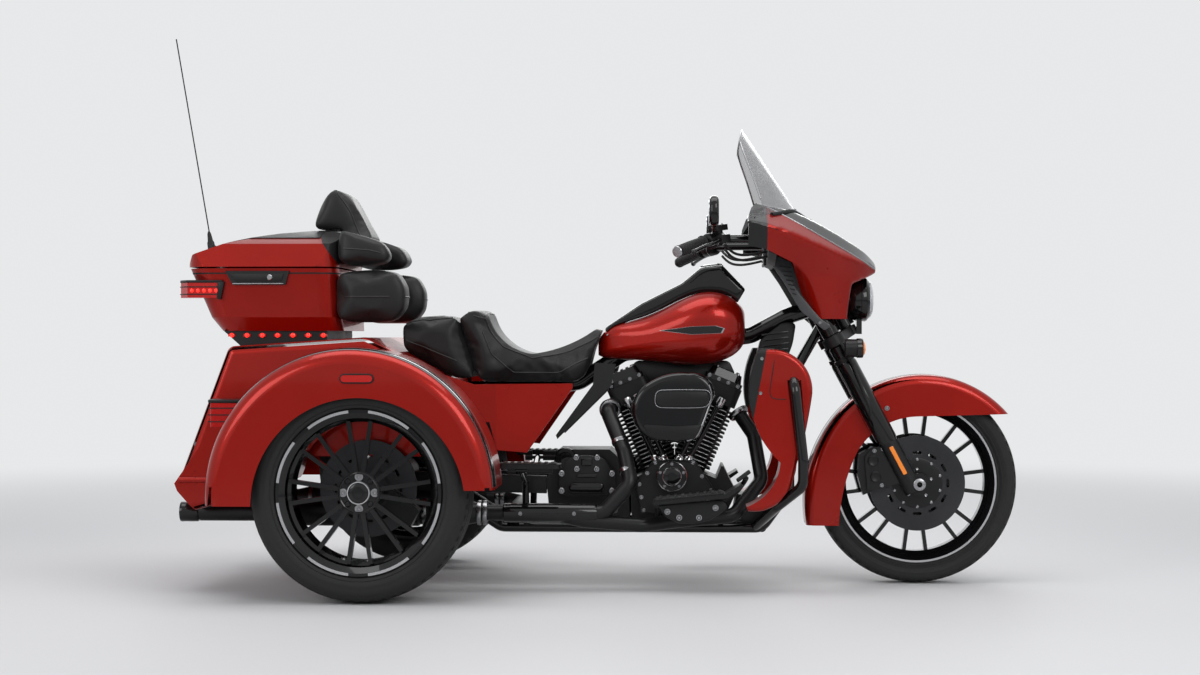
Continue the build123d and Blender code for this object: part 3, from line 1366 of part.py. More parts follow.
# ---------------------------------------------------------------------------------------------
# Write the pieces
# ---------------------------------------------------------------------------------------------
os.makedirs("parts", exist_ok=True)
pieces = {
    "front_rim": front_rim,
    "front_tyre": front_tyre,
    "front_discs": front_discs,
    "rear_rim_right": rear_rim_right.part,
    "rear_tyre_right": rear_tyre_right,
    "rear_disc_right": rear_disc_right,
    "rear_rim_left": mirror(rear_rim_right.part, about=Plane.XZ),
    "rear_tyre_left": mirror(rear_tyre_right, about=Plane.XZ),
    "rear_disc_left": mirror(rear_disc_right, about=Plane.XZ),
    "fork_upper": fork_upper.part,
    "fork_sliders": fork_sliders.part,
    "front_fender": front_fender.part,
    "front_calipers": front_calipers,
    "fairing": fairing.part,
    "headlamp": headlamp.part,
    "dash": dash_open.part,
    "windshield": windshield_pane,
    "handlebar": handlebar.part,
    "grips": grips,
    "frame": frame.part,
    "engine": engine.part,
    "cylinders": cylinders,
    "rocker_covers": rocker_covers,
    "gearbox": gearbox.part,
    "primary_cover": primary_cover.part,
    "air_cleaner": air_cleaner.part,
    "exhaust": exhaust.part,
    "fuel_tank": fuel_tank.part,
    "console": console.part,
    "rider_seat": rider_seat.part,
    "passenger_seat": passenger_seat.part,
    "rear_body": rear_body_hinged.part,
    "trunk_door": trunk_door_hinged.part,
    "rear_fender_right": rear_fender_right.part,
    "rear_fender_left": mirror(rear_fender_right.part, about=Plane.XZ),
    "rear_axle": rear_axle.part,
    "topbox_body": topbox_body_hinged.part,
    "topbox_lid": topbox_lid_hinged.part,
    "topbox_base": topbox_base.part,
    "engine_guard": engine_guard,
    "lower_fairings": lower_fairings,
    "side_covers": side_covers,
    "deflectors": deflectors,
    "oil_cooler": oil_cooler.part,
    "footboards": footboards,
    "passenger_board_right": passenger_board_right.part,
    "passenger_board_left": mirror(passenger_board_right.part, about=Plane.XZ),
    "backrest_lower": backrest_lower.part,
    "backrest_upper": backrest_upper.part,
    "rear_lamps": rear_lamps,
    "box_latch": box_latch.part,
    "antenna": antenna_solid,
    "mirrors": mirrors,
    "turn_lamps": turn_lamp_bar,
    "brake_hoses": brake_hoses,
    "rear_calipers": rear_calipers,
}
for name, part in pieces.items():
    write(name, part)
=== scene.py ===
"""Looks of a three-wheeled touring motorcycle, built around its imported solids."""

import json
import logging
from dataclasses import dataclass, field
from enum import Enum
from math import atan2, cos, floor, pi, radians, sin, sqrt
from typing import Callable, Iterable, Sequence

import bmesh
import bpy
from mathutils import Matrix, Vector
from mathutils.bvhtree import BVHTree


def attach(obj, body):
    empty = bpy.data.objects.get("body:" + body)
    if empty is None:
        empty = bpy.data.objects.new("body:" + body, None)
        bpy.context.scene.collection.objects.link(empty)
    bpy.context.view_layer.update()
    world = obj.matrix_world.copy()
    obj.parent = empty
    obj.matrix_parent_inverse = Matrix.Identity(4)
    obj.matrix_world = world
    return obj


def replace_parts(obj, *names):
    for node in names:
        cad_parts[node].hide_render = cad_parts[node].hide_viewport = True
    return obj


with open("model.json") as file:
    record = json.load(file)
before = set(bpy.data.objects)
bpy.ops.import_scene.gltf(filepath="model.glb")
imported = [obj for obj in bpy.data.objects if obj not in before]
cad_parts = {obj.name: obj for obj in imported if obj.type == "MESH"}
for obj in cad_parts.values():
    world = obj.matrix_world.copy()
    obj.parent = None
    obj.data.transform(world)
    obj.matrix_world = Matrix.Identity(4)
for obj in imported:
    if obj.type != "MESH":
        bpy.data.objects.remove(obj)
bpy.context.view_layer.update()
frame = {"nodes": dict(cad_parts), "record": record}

log = logging.getLogger("trike")
Form = bmesh.types.BMesh
Thing = bpy.types.Object
Point = Sequence[float]
Flat = tuple[float, float]

REAR_AXLE = Vector((-0.67, 0, 0.326))
FRONT_AXLE = Vector((1.01, 0, 0.32))
REAR_TRACK = 1.12
HEAD = Vector((0.755, 0, 0.88))
RAKE = radians(28)
SIDES = (-1, 1)
CREASE = 38.0
SAME_POINT = 0.000002
SAME_CORNER = 0.00002


class Slot(Enum):
    """The record's material slots."""

    RED = "red_paint"
    GLOSS = "gloss_black"
    SATIN = "satin_black"
    CAST = "cast_black"
    PLASTIC = "dark_plastic"
    TYRE = "tyre"
    RUBBER = "grip_rubber"
    STEEL = "steel"
    ALUMINIUM = "aluminium"
    LEATHER = "leather"
    LAMP_RED = "lamp_red"
    LAMP_CLEAR = "lamp_clear"
    SHIELD = "shield"


class Body(Enum):
    """The bodies that pieces ride on."""

    CHASSIS = "chassis"
    STEERING = "steering"
    FRONT_WHEEL = "front_wheel"
    REAR_RIGHT = "rear_wheel_right"
    REAR_LEFT = "rear_wheel_left"
    LID = "box_lid"
    BOARD_RIGHT = "board_right"
    BOARD_LEFT = "board_left"


# Finishes
BRUSH_STRETCH = (1, 40, 1)
COAT_IOR = 1.4


def feed(tree: bpy.types.NodeTree, node: bpy.types.Node, inputs: dict[str | int, object]) -> None:
    """Links a node's inputs to sockets, or sets them to values.

    Args:
        tree: The tree that the node is in.
        node: The node.
        inputs: A socket or a value for each input's name or number.
    """
    for key, value in inputs.items():
        if isinstance(value, bpy.types.NodeSocket):
            tree.links.new(value, node.inputs[key])
        else:
            node.inputs[key].default_value = value


def add_node(tree: bpy.types.NodeTree, kind: str, inputs: dict[str | int, object] | None = None,
        **settings: object) -> bpy.types.Node:
    """Adds a shader node.

    Args:
        tree: The tree that takes it.
        kind: The node's type.
        inputs: What its inputs are fed with.
        **settings: Its own settings.

    Returns:
        The new node.
    """
    node = tree.nodes.new(kind)
    for key, value in settings.items():
        setattr(node, key, value)
    feed(tree, node, inputs or {})
    return node


@dataclass(frozen=True)
class Finish:
    """One procedural finish.

    Attributes:
        name: The material's name.
        slot: The record's slot that it belongs to.
        colour: The base colour, linear.
        second: The colour that patches and pores of the surface lean to.
        metallic: How much of it is metal.
        rough: The lowest and highest roughness over the surface.
        grain: The size of the finest grain, in metres.
        bump: The depth of the grain's bump, in metres.
        coat: The strength of a clear coat.
        coat_rough: The roughness of the clear coat.
        sheen: The strength of the cloth sheen.
        glow: The strength of its own light.
        clear: How much light goes through it.
        alpha: How much of the surface covers what lies behind.
        cells: Whether the grain is made of cells, as in leather or flake.
        brushed: Whether the grain runs round the wheel's axis.
    """

    name: str
    slot: Slot
    colour: Point
    second: Point
    metallic: float = 0.0
    rough: Flat = (0.4, 0.5)
    grain: float = 0.002
    bump: float = 0.0
    coat: float = 0.0
    coat_rough: float = 0.04
    sheen: float = 0.0
    glow: float = 0.0
    clear: float = 0.0
    alpha: float = 1.0
    cells: bool = False
    brushed: bool = False

    def build(self) -> bpy.types.Material:
        """Makes the material.

        Returns:
            The material, with its node tree.
        """
        material = bpy.data.materials.new(self.name)
        material.use_nodes = True
        tree = material.node_tree
        shader = tree.nodes["Principled BSDF"]
        place = add_node(tree, "ShaderNodeTexCoord").outputs["Object"]
        stretch = add_node(tree, "ShaderNodeMapping", {"Vector": place})
        if self.brushed:
            stretch.inputs["Scale"].default_value = BRUSH_STRETCH
        patches = add_node(tree, "ShaderNodeTexNoise", {"Scale": 7, "Detail": 4,
            "Vector": place}).outputs["Fac"]
        fine = {"Scale": 1 / self.grain, "Vector": stretch.outputs["Vector"]}
        if self.cells:
            grain = add_node(tree, "ShaderNodeTexVoronoi", fine).outputs["Distance"]
        else:
            grain = add_node(tree, "ShaderNodeTexNoise", {"Detail": 3, **fine}).outputs["Fac"]
        blend = add_node(tree, "ShaderNodeMath", {0: patches, 1: grain}, operation="MULTIPLY")
        mix = add_node(tree, "ShaderNodeMix", {6: (*self.colour, 1), 7: (*self.second, 1),
            0: blend.outputs[0]}, data_type="RGBA")
        rough = add_node(tree, "ShaderNodeMapRange", {"From Min": 0.3, "From Max": 0.7,
            "To Min": self.rough[0], "To Max": self.rough[1], "Value": patches})
        feed(tree, shader, {"Base Color": mix.outputs[2], "Roughness": rough.outputs["Result"],
            "Metallic": self.metallic, "Coat Weight": self.coat, "Coat Roughness": self.coat_rough,
            "Coat IOR": COAT_IOR, "Specular IOR Level": 0.12 if self.coat > 0.3 else 0.25,
            "Sheen Weight": self.sheen, "Transmission Weight": self.clear, "Alpha": self.alpha})
        if self.bump:
            bump = add_node(tree, "ShaderNodeBump", {"Strength": 1, "Distance": self.bump,
                "Height": grain})
            feed(tree, shader, {"Normal": bump.outputs["Normal"]})
        if self.glow:
            feed(tree, shader, {"Emission Color": (*self.colour, 1),
                "Emission Strength": self.glow})
        return material


FINISHES = (
    Finish("red_clearcoat", Slot.RED, (0.29, 0.006, 0.002), (0.38, 0.011, 0.004), 0.55,
           (0.27, 0.32), 0.0007, 0.000004, 0.5, 0.03, cells=True),
    Finish("black_clearcoat", Slot.GLOSS, (0.0045, 0.0045, 0.005), (0.011, 0.011, 0.012), 0.2,
           (0.12, 0.2), 0.0009, 0.000004, 0.8, 0.03),
    Finish("satin_black_coat", Slot.SATIN, (0.009, 0.009, 0.0095), (0.019, 0.019, 0.02), 0.3,
           (0.3, 0.42), 0.0012, 0.00002, 0.15, 0.3),
    Finish("wrinkle_black", Slot.CAST, (0.0095, 0.0095, 0.01), (0.024, 0.024, 0.025), 0.25,
           (0.38, 0.52), 0.0016, 0.00009, 0.1, 0.35, cells=True),
    Finish("moulded_dark", Slot.PLASTIC, (0.009, 0.0092, 0.0097), (0.02, 0.0203, 0.021), 0,
           (0.4, 0.54), 0.0011, 0.00005),
    Finish("tyre_rubber", Slot.TYRE, (0.016, 0.016, 0.016), (0.032, 0.031, 0.03), 0, (0.6, 0.78),
           0.0025, 0.00008),
    Finish("grip_moulding", Slot.RUBBER, (0.016, 0.016, 0.016), (0.028, 0.028, 0.028), 0,
           (0.5, 0.66), 0.0014, 0.00007),
    # Worn by real bolts and trim, and also by the thin bright tubes that are painted highlights on
    # the fork covers, fenders and fairing crest.
    Finish("machined_steel", Slot.STEEL, (0.3, 0.3, 0.31), (0.42, 0.42, 0.43), 1, (0.2, 0.34),
           0.0008, 0.00001, brushed=True),
    Finish("machined_aluminium", Slot.ALUMINIUM, (0.52, 0.52, 0.53), (0.66, 0.66, 0.67), 1,
           (0.18, 0.3), 0.0008, 0.00001, brushed=True),
    Finish("black_leather", Slot.LEATHER, (0.008, 0.008, 0.0085), (0.019, 0.0185, 0.0185), 0,
           (0.38, 0.52), 0.0022, 0.00018, 0.08, 0.3, 0.03, cells=True),
    Finish("red_lens", Slot.LAMP_RED, (0.36, 0.004, 0.003), (0.6, 0.015, 0.01), 0, (0.08, 0.12),
           0.004, 0, 0.6, 0.03, glow=0.16),
    Finish("clear_lens", Slot.LAMP_CLEAR, (0.75, 0.77, 0.8), (0.9, 0.92, 0.95), 0, (0.03, 0.06),
           0.004, 0, 1, 0.02, clear=0.6),
    Finish("dark_disc", Slot.STEEL, (0.03, 0.03, 0.032), (0.08, 0.08, 0.084), 0.85, (0.3, 0.44),
           0.0009, 0.00001),
    Finish("brushed_dark_steel", Slot.STEEL, (0.42, 0.42, 0.43), (0.55, 0.55, 0.56), 1,
           (0.22, 0.32), 0.0008, 0.00001),
    Finish("welt_vinyl", Slot.LEATHER, (0.02, 0.02, 0.021), (0.036, 0.036, 0.037), 0, (0.36, 0.48),
           0.0009, 0.00006, 0.2, 0.25),
    # Its glow stands for the turn lamps' light; on the fork reflectors, which hold no lamp, the
    # same glow is painted light.
    Finish("amber_lens", Slot.LAMP_CLEAR, (0.85, 0.22, 0.02), (0.95, 0.3, 0.04), 0, (0.08, 0.14),
           0.003, 0, 1, 0.03, glow=0.15),
    Finish("grey_panel", Slot.PLASTIC, (0.06, 0.062, 0.065), (0.08, 0.082, 0.086), 0, (0.32, 0.44),
           0.0012, 0.00002, 0.3, 0.2),
    Finish("mirror_glass", Slot.ALUMINIUM, (0.62, 0.65, 0.68), (0.7, 0.73, 0.76), 1, (0.02, 0.04),
           0.01, 0),
    Finish("lamp_reflector", Slot.ALUMINIUM, (0.7, 0.71, 0.73), (0.8, 0.81, 0.83), 1, (0.08, 0.14),
           0.004, 0),
    Finish("pale_marks", Slot.LAMP_CLEAR, (0.62, 0.62, 0.6), (0.7, 0.7, 0.68), 0, (0.4, 0.5),
           0.002, 0, glow=0.1),
    Finish("lit_red", Slot.LAMP_RED, (0.9, 0.02, 0.012), (1, 0.06, 0.04), 0, (0.08, 0.12),
           0.003, 0, 0.8, 0.03, glow=1.6),
    Finish("smoke_screen", Slot.SHIELD, (0.2, 0.2, 0.21), (0.24, 0.24, 0.25), 0, (0.03, 0.05),
           0.01, 0, 0.5, 0.02, alpha=0.32),
)


@dataclass
class FinishShop:
    """Builds each finish once and hands it out by name."""

    made: dict[str, bpy.types.Material] = field(default_factory=dict)
    slots: dict[str, Slot] = field(default_factory=dict)

    def stock(self, finishes: Iterable[Finish]) -> None:
        """Builds every finish given.

        Args:
            finishes: The finishes to build.
        """
        for finish in finishes:
            self.made[finish.name] = finish.build()
            self.slots[finish.name] = finish.slot

    def coat_node(self, node: Thing, name: str) -> None:
        """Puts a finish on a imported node's own material slots.

        Args:
            node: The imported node's object.
            name: The finish's name.
        """
        material = self.made[name]
        if not node.material_slots:
            node.data.materials.append(material)
        for holder in node.material_slots:
            holder.material = material

    def coat(self, piece: Thing, name: str) -> None:
        """Gives a new piece one finish.

        Args:
            piece: The new piece.
            name: The finish's name.
        """
        piece.data.materials.clear()
        piece.data.materials.append(self.made[name])


SHOP = FinishShop()


@dataclass
class PackedNodes:
    """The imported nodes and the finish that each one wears: the first one of its slot."""

    finish_of_slot: dict[str, str] = field(default_factory=lambda: {finish.slot.value: finish.name
        for finish in reversed(FINISHES)})
    own: dict[str, str] = field(default_factory=lambda: {"front_discs": "dark_disc",
        "rear_disc_right": "dark_disc", "rear_disc_left": "dark_disc",
        "headlamp": "black_clearcoat",})

    def dress(self) -> None:
        """Puts each node's finish on it."""
        for row in frame["record"]["subparts"]:
            node = frame["nodes"][row["node"]]
            finish = self.own.get(row["node"], self.finish_of_slot[row["material_slot"]])
            SHOP.coat_node(node, finish)
            log.info("dressed %s", row["node"])


# The studio
@dataclass
class Studio:
    """The floor, the backdrop, the lamps and the camera.

    Attributes:
        camera_place: Where the camera stands.
        yaw: How far it turns to the left.
        lens: Its focal length in millimetres.
        sensor: Its sensor's width in millimetres.
        floor_half: Half the floor's width.
        pale: The floor's colour.
        backdrop: The backdrop's colour.
        fade_start: How far out the floor starts to turn into the backdrop.
        fade_end: How far out it has turned into it.
    """

    camera_place: Point = (0.293, -6.582, 0.779)
    yaw: float = radians(2.5)
    lens: float = 61.5
    sensor: float = 36.0
    floor_half: float = 30.0
    pale: Point = (0.7, 0.7, 0.71)
    backdrop: Point = (0.8, 0.81, 0.82)
    fade_start: float = 2.0
    fade_end: float = 7.0

    def floor(self) -> None:
        """Lays a pale floor that takes the object's shadow."""
        mesh = bmesh.new()
        bmesh.ops.create_grid(mesh, x_segments=1, y_segments=1, size=self.floor_half)
        plane = mesh_object("studio_floor", mesh)
        material = bpy.data.materials.new("pale_floor")
        material.use_nodes = True
        tree = material.node_tree
        shader = tree.nodes["Principled BSDF"]
        feed(tree, shader, {"Base Color": (*self.pale, 1), "Roughness": 0.6})
        place = add_node(tree, "ShaderNodeTexCoord").outputs["Object"]
        reach = add_node(tree, "ShaderNodeVectorMath", {0: place}, operation="LENGTH")
        fade = add_node(tree, "ShaderNodeMapRange", {"From Min": self.fade_start,
            "From Max": self.fade_end, "Value": reach.outputs["Value"],},
            interpolation_type="SMOOTHSTEP")
        rays = add_node(tree, "ShaderNodeLightPath").outputs
        seen = add_node(tree, "ShaderNodeMath", {0: fade.outputs["Result"],
            1: rays["Is Camera Ray"]}, operation="MULTIPLY")
        glow = add_node(tree, "ShaderNodeEmission", {"Color": (*self.backdrop, 1)})
        mix = add_node(tree, "ShaderNodeMixShader", {"Fac": seen.outputs[0],
            1: shader.outputs["BSDF"], 2: glow.outputs["Emission"]})
        feed(tree, tree.nodes["Material Output"], {"Surface": mix.outputs["Shader"]})
        plane.data.materials.append(material)

    def world(self) -> None:
        """Shows a pale backdrop to the camera and to mirrors, and lights the object softly."""
        world = bpy.data.worlds.new("studio")
        bpy.context.scene.world = world
        world.use_nodes = True
        tree = world.node_tree
        backdrop = tree.nodes["Background"]
        feed(tree, backdrop, {"Color": (*self.backdrop, 1), "Strength": 1})
        soft = add_node(tree, "ShaderNodeBackground", {"Color": (0.8, 0.82, 0.85, 1),
            "Strength": 0.45})
        rays = add_node(tree, "ShaderNodeLightPath").outputs
        seen = add_node(tree, "ShaderNodeMath", {0: rays["Is Camera Ray"],
            1: rays["Is Transmission Ray"]}, operation="ADD", use_clamp=True)
        mirrored = add_node(tree, "ShaderNodeMath", {0: seen.outputs[0], 1: rays["Is Glossy Ray"]},
            operation="ADD", use_clamp=True)
        pick = add_node(tree, "ShaderNodeMixShader", {"Fac": mirrored.outputs[0],
            1: soft.outputs["Background"], 2: backdrop.outputs["Background"]})
        feed(tree, tree.nodes["World Output"], {"Surface": pick.outputs["Shader"]})

    def lamp(self, name: str, place: Point, aim: Point, size: Flat, power: float) -> None:
        """Hangs one soft lamp.

        Args:
            name: The lamp's name.
            place: Where it hangs.
            aim: The point that it faces.
            size: Its width and height.
            power: Its power in watts.
        """
        light = bpy.data.lights.new(name, "AREA")
        light.shape = "RECTANGLE"
        light.size, light.size_y = size
        light.energy = power
        holder = bpy.data.objects.new(name, light)
        holder.location = place
        holder.rotation_euler = (Vector(aim) - Vector(place)).to_track_quat("-Z", "Y").to_euler()
        bpy.context.scene.collection.objects.link(holder)

    def lamps(self) -> None:
        """Hangs the studio's lamps."""
        self.lamp("overhead", (0, -0.6, 4.2), (0, 0, 0.6), (5, 2.2), 95)
        self.lamp("key", (2.6, -4.2, 3), (0.1, 0, 0.7), (2.4, 2), 72)
        self.lamp("side", (-3.4, -3.8, 2.2), (-0.5, 0, 0.6), (2.2, 2), 46)
        self.lamp("back", (0, 4, 2.6), (0, 0, 0.8), (4, 1.5), 50)

    def camera(self) -> None:
        """Sets the camera level, from the right side."""
        data = bpy.data.cameras.new("camera")
        data.sensor_fit = "HORIZONTAL"
        data.sensor_width = self.sensor
        data.lens = self.lens
        data.clip_end = 100.0
        holder = bpy.data.objects.new("camera", data)
        holder.location = self.camera_place
        holder.rotation_euler = (pi / 2, 0, self.yaw)
        bpy.context.scene.collection.objects.link(holder)
        bpy.context.scene.camera = holder

    def build(self) -> None:
        """Builds the whole studio."""
        self.camera()
        self.floor()
        self.world()
        self.lamps()


# Shapes
def mesh_object(name: str, mesh: Form, crease: float = CREASE) -> Thing:
    """Turns a bmesh into an object of the scene and frees the bmesh.

    Args:
        name: The piece's name.
        mesh: The finished bmesh.
        crease: The angle in degrees past which an edge stays sharp.

    Returns:
        The new object, at the origin.
    """
    data = bpy.data.meshes.new(name)
    for face in mesh.faces:
        face.smooth = True
    for edge in mesh.edges:
        edge.smooth = len(edge.link_faces) == 2 and edge.calc_face_angle() < radians(crease)
    mesh.to_mesh(data)
    mesh.free()
    piece = bpy.data.objects.new(name, data)
    bpy.context.scene.collection.objects.link(piece)
    return piece


def node_form(node: str, join: float = SAME_CORNER) -> Form:
    """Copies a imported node's mesh.

    Args:
        node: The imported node's name.
        join: Points nearer than this become one, or none do where it is nought.

    Returns:
        The copy.
    """
    form = bmesh.new()
    form.from_mesh(frame["nodes"][node].data)
    if join:
        bmesh.ops.remove_doubles(form, verts=form.verts, dist=join)
    return form


def cut(form: Form, point: Point, side: Point, **options: object) -> None:
    """Cuts a form along a plane.

    Args:
        form: The form.
        point: A point of the plane.
        side: The direction that the plane faces.
        **options: What is cleared, and how near a point counts as on the plane.
    """
    bmesh.ops.bisect_plane(form, geom=form.verts[:] + form.edges[:] + form.faces[:], plane_co=point,
        plane_no=side, **options)


def even_out(form: Form, dots: Sequence[bmesh.types.BMVert], rounds: int) -> None:
    """Evens some points of a form out and reads its normals again.

    Args:
        form: The form.
        dots: The points.
        rounds: How often they are evened out.
    """
    for _ in range(rounds):
        bmesh.ops.smooth_vert(form, verts=dots, factor=0.5, use_axis_x=True, use_axis_y=True,
            use_axis_z=True)
    form.normal_update()


def round_edges(form: Form, edges: Sequence[bmesh.types.BMEdge], width: float, steps: int) -> None:
    """Rounds some edges of a form.

    Args:
        form: The form.
        edges: The edges to round.
        width: How far the rounding reaches from the edge.
        steps: How many facets it has.
    """
    bmesh.ops.bevel(form, geom=list(edges), offset=width, offset_type="OFFSET", segments=steps,
        profile=0.5, affect="EDGES", material=-1, clamp_overlap=True)


@dataclass
class Work:
    """One piece while it is being made from several forms."""

    mesh: Form = field(default_factory=bmesh.new)

    def take(self, form: Form, turn: Matrix = Matrix.Identity(4)) -> "Work":
        """Adds a finished form and frees it.

        Args:
            form: The form.
            turn: How it is turned and placed.

        Returns:
            This piece.
        """
        bmesh.ops.remove_doubles(form, verts=form.verts, dist=SAME_POINT)
        bmesh.ops.recalc_face_normals(form, faces=form.faces)
        bmesh.ops.transform(form, matrix=turn, verts=form.verts)
        if turn.determinant() < 0:
            bmesh.ops.reverse_faces(form, faces=form.faces)
        return self.merge(form)

    def merge(self, form: Form) -> "Work":
        """Moves a form's mesh into the piece's as it stands, and frees the form."""
        data = bpy.data.meshes.new("form")
        form.to_mesh(data)
        form.free()
        self.mesh.from_mesh(data)
        bpy.data.meshes.remove(data)
        return self

    def slab(self, corners: Sequence[Point], shift: Point, corner: float = 0.0, edge: float = 0.0,
            steps: int = 2) -> "Work":
        """Adds a plate or block: an outline drawn out along one direction.

        Args:
            corners: The outline's corners.
            shift: How far and which way it is drawn out.
            corner: The rounding of the outline's corners.
            edge: The rounding of the two rims.
            steps: The facets of a rim's rounding.

        Returns:
            This piece.
        """
        form = bmesh.new()
        face = form.faces.new([form.verts.new(place) for place in corners])
        grown = bmesh.ops.extrude_face_region(form, geom=[face])["geom"]
        moved = [item for item in grown if isinstance(item, bmesh.types.BMVert)]
        bmesh.ops.translate(form, verts=moved, vec=shift)
        bmesh.ops.recalc_face_normals(form, faces=form.faces)
        along = Vector(shift).normalized()
        if corner:
            round_edges(form, [item for item in form.edges
                if abs((item.verts[1].co - item.verts[0].co).normalized().dot(along)) > 0.999],
                corner, 5)
        if edge:
            round_edges(form, [item for item in form.edges
                if abs((item.verts[1].co - item.verts[0].co).normalized().dot(along)) < 0.02
                and item.calc_face_angle(0) > 1], edge, steps)
        return self.take(form)

    def plate(self, outline: Sequence[Flat], low: float, high: float, corner: float = 0.0,
            edge: float = 0.0) -> "Work":
        """Adds a plate with an outline in X and Z, between two places in Y.

        Args:
            outline: The outline's corners.
            low: Its right face.
            high: Its left face.
            corner: The rounding of the outline's corners.
            edge: The rounding of the rims.

        Returns:
            This piece.
        """
        return self.slab([(x, low, z) for x, z in outline], (0, high - low, 0), corner, edge)

    def lathe(self, profile: Sequence[Flat], centre: Point, axis: Point, steps: int = 48,
            closed: bool = False, turn: float = 0.0, start: float = 0.0) -> "Work":
        """Adds a turned form.

        Args:
            profile: Radius and height along the axis of each of its points.
            centre: Where the height is nought.
            axis: The direction of its height.
            steps: Its facets round the axis.
            closed: Whether the profile is a ring of its own, as a tyre's is.
            turn: The angle that it covers, or nought for a full turn.
            start: The angle that it starts at.

        Returns:
            This piece.
        """
        form = bmesh.new()
        dots = [form.verts.new((radius, 0, height)) for radius, height in profile]
        if turn:
            geom = [form.faces.new(dots)]
            geom += form.verts[:] + form.edges[:]
        else:
            pairs = list(zip(dots, dots[1:])) + ([(dots[-1], dots[0])] if closed else [])
            geom = dots + [form.edges.new(pair) for pair in pairs]
        bmesh.ops.spin(form, geom=geom, cent=(0, 0, 0), axis=(0, 0, 1), dvec=(0, 0, 0), angle=turn
            or 2 * pi, steps=steps, use_merge=not turn)
        lean = Vector((0, 0, 1)).rotation_difference(Vector(axis)).to_matrix().to_4x4()
        return self.take(form, Matrix.Translation(centre) @ lean @ Matrix.Rotation(start, 4, "Z"))

    def ball(self, place: Point, radius: float) -> "Work":
        """Adds a ball.

        Args:
            place: Its middle.
            radius: Its radius.

        Returns:
            This piece.
        """
        form = bmesh.new()
        bmesh.ops.create_uvsphere(form, u_segments=16, v_segments=10, radius=radius)
        return self.take(form, Matrix.Translation(place))

    def bolt(self, place: Point, axis: Point, radius: float = 0.005, rise: float = 0.005) -> "Work":
        """Adds a six-sided socket bolt on a washer.

        Args:
            place: The middle of the washer's foot.
            axis: The way that the head points.
            radius: The head's radius.
            rise: The head's height.

        Returns:
            This piece.
        """
        form = bmesh.new()
        bmesh.ops.create_cone(form, cap_ends=True, segments=14, radius1=radius * 1.35,
            radius2=radius * 1.2, depth=rise * 0.35, matrix=Matrix.Translation((0, 0, rise * 0.17)))
        bmesh.ops.create_cone(form, cap_ends=True, segments=6, radius1=radius, radius2=radius * 0.9,
            depth=rise * 0.9, matrix=Matrix.Translation((0, 0, rise * 0.55)))
        top = max(form.faces, key=lambda face: face.calc_center_median().z)
        bmesh.ops.inset_individual(form, faces=[top], thickness=radius * 0.35, depth=-rise * 0.4)
        lean = Vector((0, 0, 1)).rotation_difference(Vector(axis)).to_matrix().to_4x4()
        return self.take(form, Matrix.Translation(place) @ lean)

    def tube(self, points: Sequence[Point], radius: float, smooth: bool = True,
            closed: bool = False) -> "Work":
        """Adds a round bar along a line.

        Args:
            points: The points that the line follows.
            radius: The bar's radius.
            smooth: Whether the line rounds its corners.
            closed: Whether the line is a ring.

        Returns:
            This piece.
        """
        line = bpy.data.curves.new("line", "CURVE")
        line.dimensions = "3D"
        line.bevel_depth = radius
        line.bevel_resolution = 3
        line.use_fill_caps = True
        line.resolution_u = 8
        spline = line.splines.new("NURBS" if smooth else "POLY")
        spline.points.add(len(points) - 1)
        for point, place in zip(spline.points, points):
            point.co = (*place, 1)
        spline.use_endpoint_u = not closed
        spline.order_u = 3
        spline.use_cyclic_u = closed
        holder = bpy.data.objects.new("line", line)
        data = bpy.data.meshes.new_from_object(holder)
        form = bmesh.new()
        form.from_mesh(data)
        bpy.data.objects.remove(holder)
        bpy.data.curves.remove(line)
        bpy.data.meshes.remove(data)
        return self.take(form)

    def skin(self, node: str, cuts: Sequence[tuple[Point, Point]], keep: Callable[[Vector, Vector],
            bool], rise: float = 0.0008, thick: float = 0.0016) -> "Work":
        """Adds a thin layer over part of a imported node's surface.

        Args:
            node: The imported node's name.
            cuts: A point and a direction of each plane; the side that it points to is kept.
            keep: Says by a face's middle and its normal whether it is kept.
            rise: How far the layer stands off the surface.
            thick: The layer's thickness.

        Returns:
            This piece.
        """
        form = node_form(node, SAME_CORNER / 2)
        for point, side in cuts:
            cut(form, point, side, clear_inner=True)
        lost = [face for face in form.faces if not keep(face.calc_center_median(), face.normal)]
        bmesh.ops.delete(form, geom=lost, context="FACES")
        form.normal_update()
        for dot in form.verts:
            dot.co += dot.normal * rise
        bmesh.ops.solidify(form, geom=form.faces[:], thickness=thick)
        return self.take(form)

    def both_sides(self) -> "Work":
        """Adds the mirror image on the machine's other side.

        Returns:
            This piece.
        """
        form = self.mesh.copy()
        bmesh.ops.scale(form, vec=(1, -1, 1), verts=form.verts)
        bmesh.ops.reverse_faces(form, faces=form.faces)
        return self.merge(form)

    def piece(self, name: str, finish: str, body: Body = Body.CHASSIS,
            crease: float = CREASE) -> Thing:
        """Ends the work: makes the object, gives it its finish and sets it on its body.

        Args:
            name: The piece's name.
            finish: The finish that it wears.
            body: The body that it rides on.
            crease: The angle in degrees past which an edge stays sharp.

        Returns:
            The piece's object.
        """
        thing = mesh_object(name, self.mesh, crease)
        SHOP.coat(thing, finish)
        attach(thing, body.value)
        log.info("made %s: %d faces", name, len(thing.data.polygons))
        return thing


def around(centre: Point, radius: float, angle: float, y: float) -> Point:
    """Finds a point on a circle seen from the side.

    Args:
        centre: The circle's middle.
        radius: Its radius.
        angle: The point's angle in degrees, from forward, upward.
        y: The point's place in Y.

    Returns:
        The point.
    """
    turn = radians(angle)
    return (centre[0] + radius * cos(turn), y, centre[2] + radius * sin(turn))


def fork_place(along: float, forward: float, side: float) -> Point:
    """Finds a point given along the steering axis, forward of it and to the left.

    Args:
        along: Metres up the steering axis from the middle of the head.
        forward: Metres forward of the axis.
        side: Metres to the left.

    Returns:
        The point.
    """
    return (HEAD[0] - along * sin(RAKE) + forward * cos(RAKE), side,
        HEAD[2] + along * cos(RAKE) + forward * sin(RAKE))


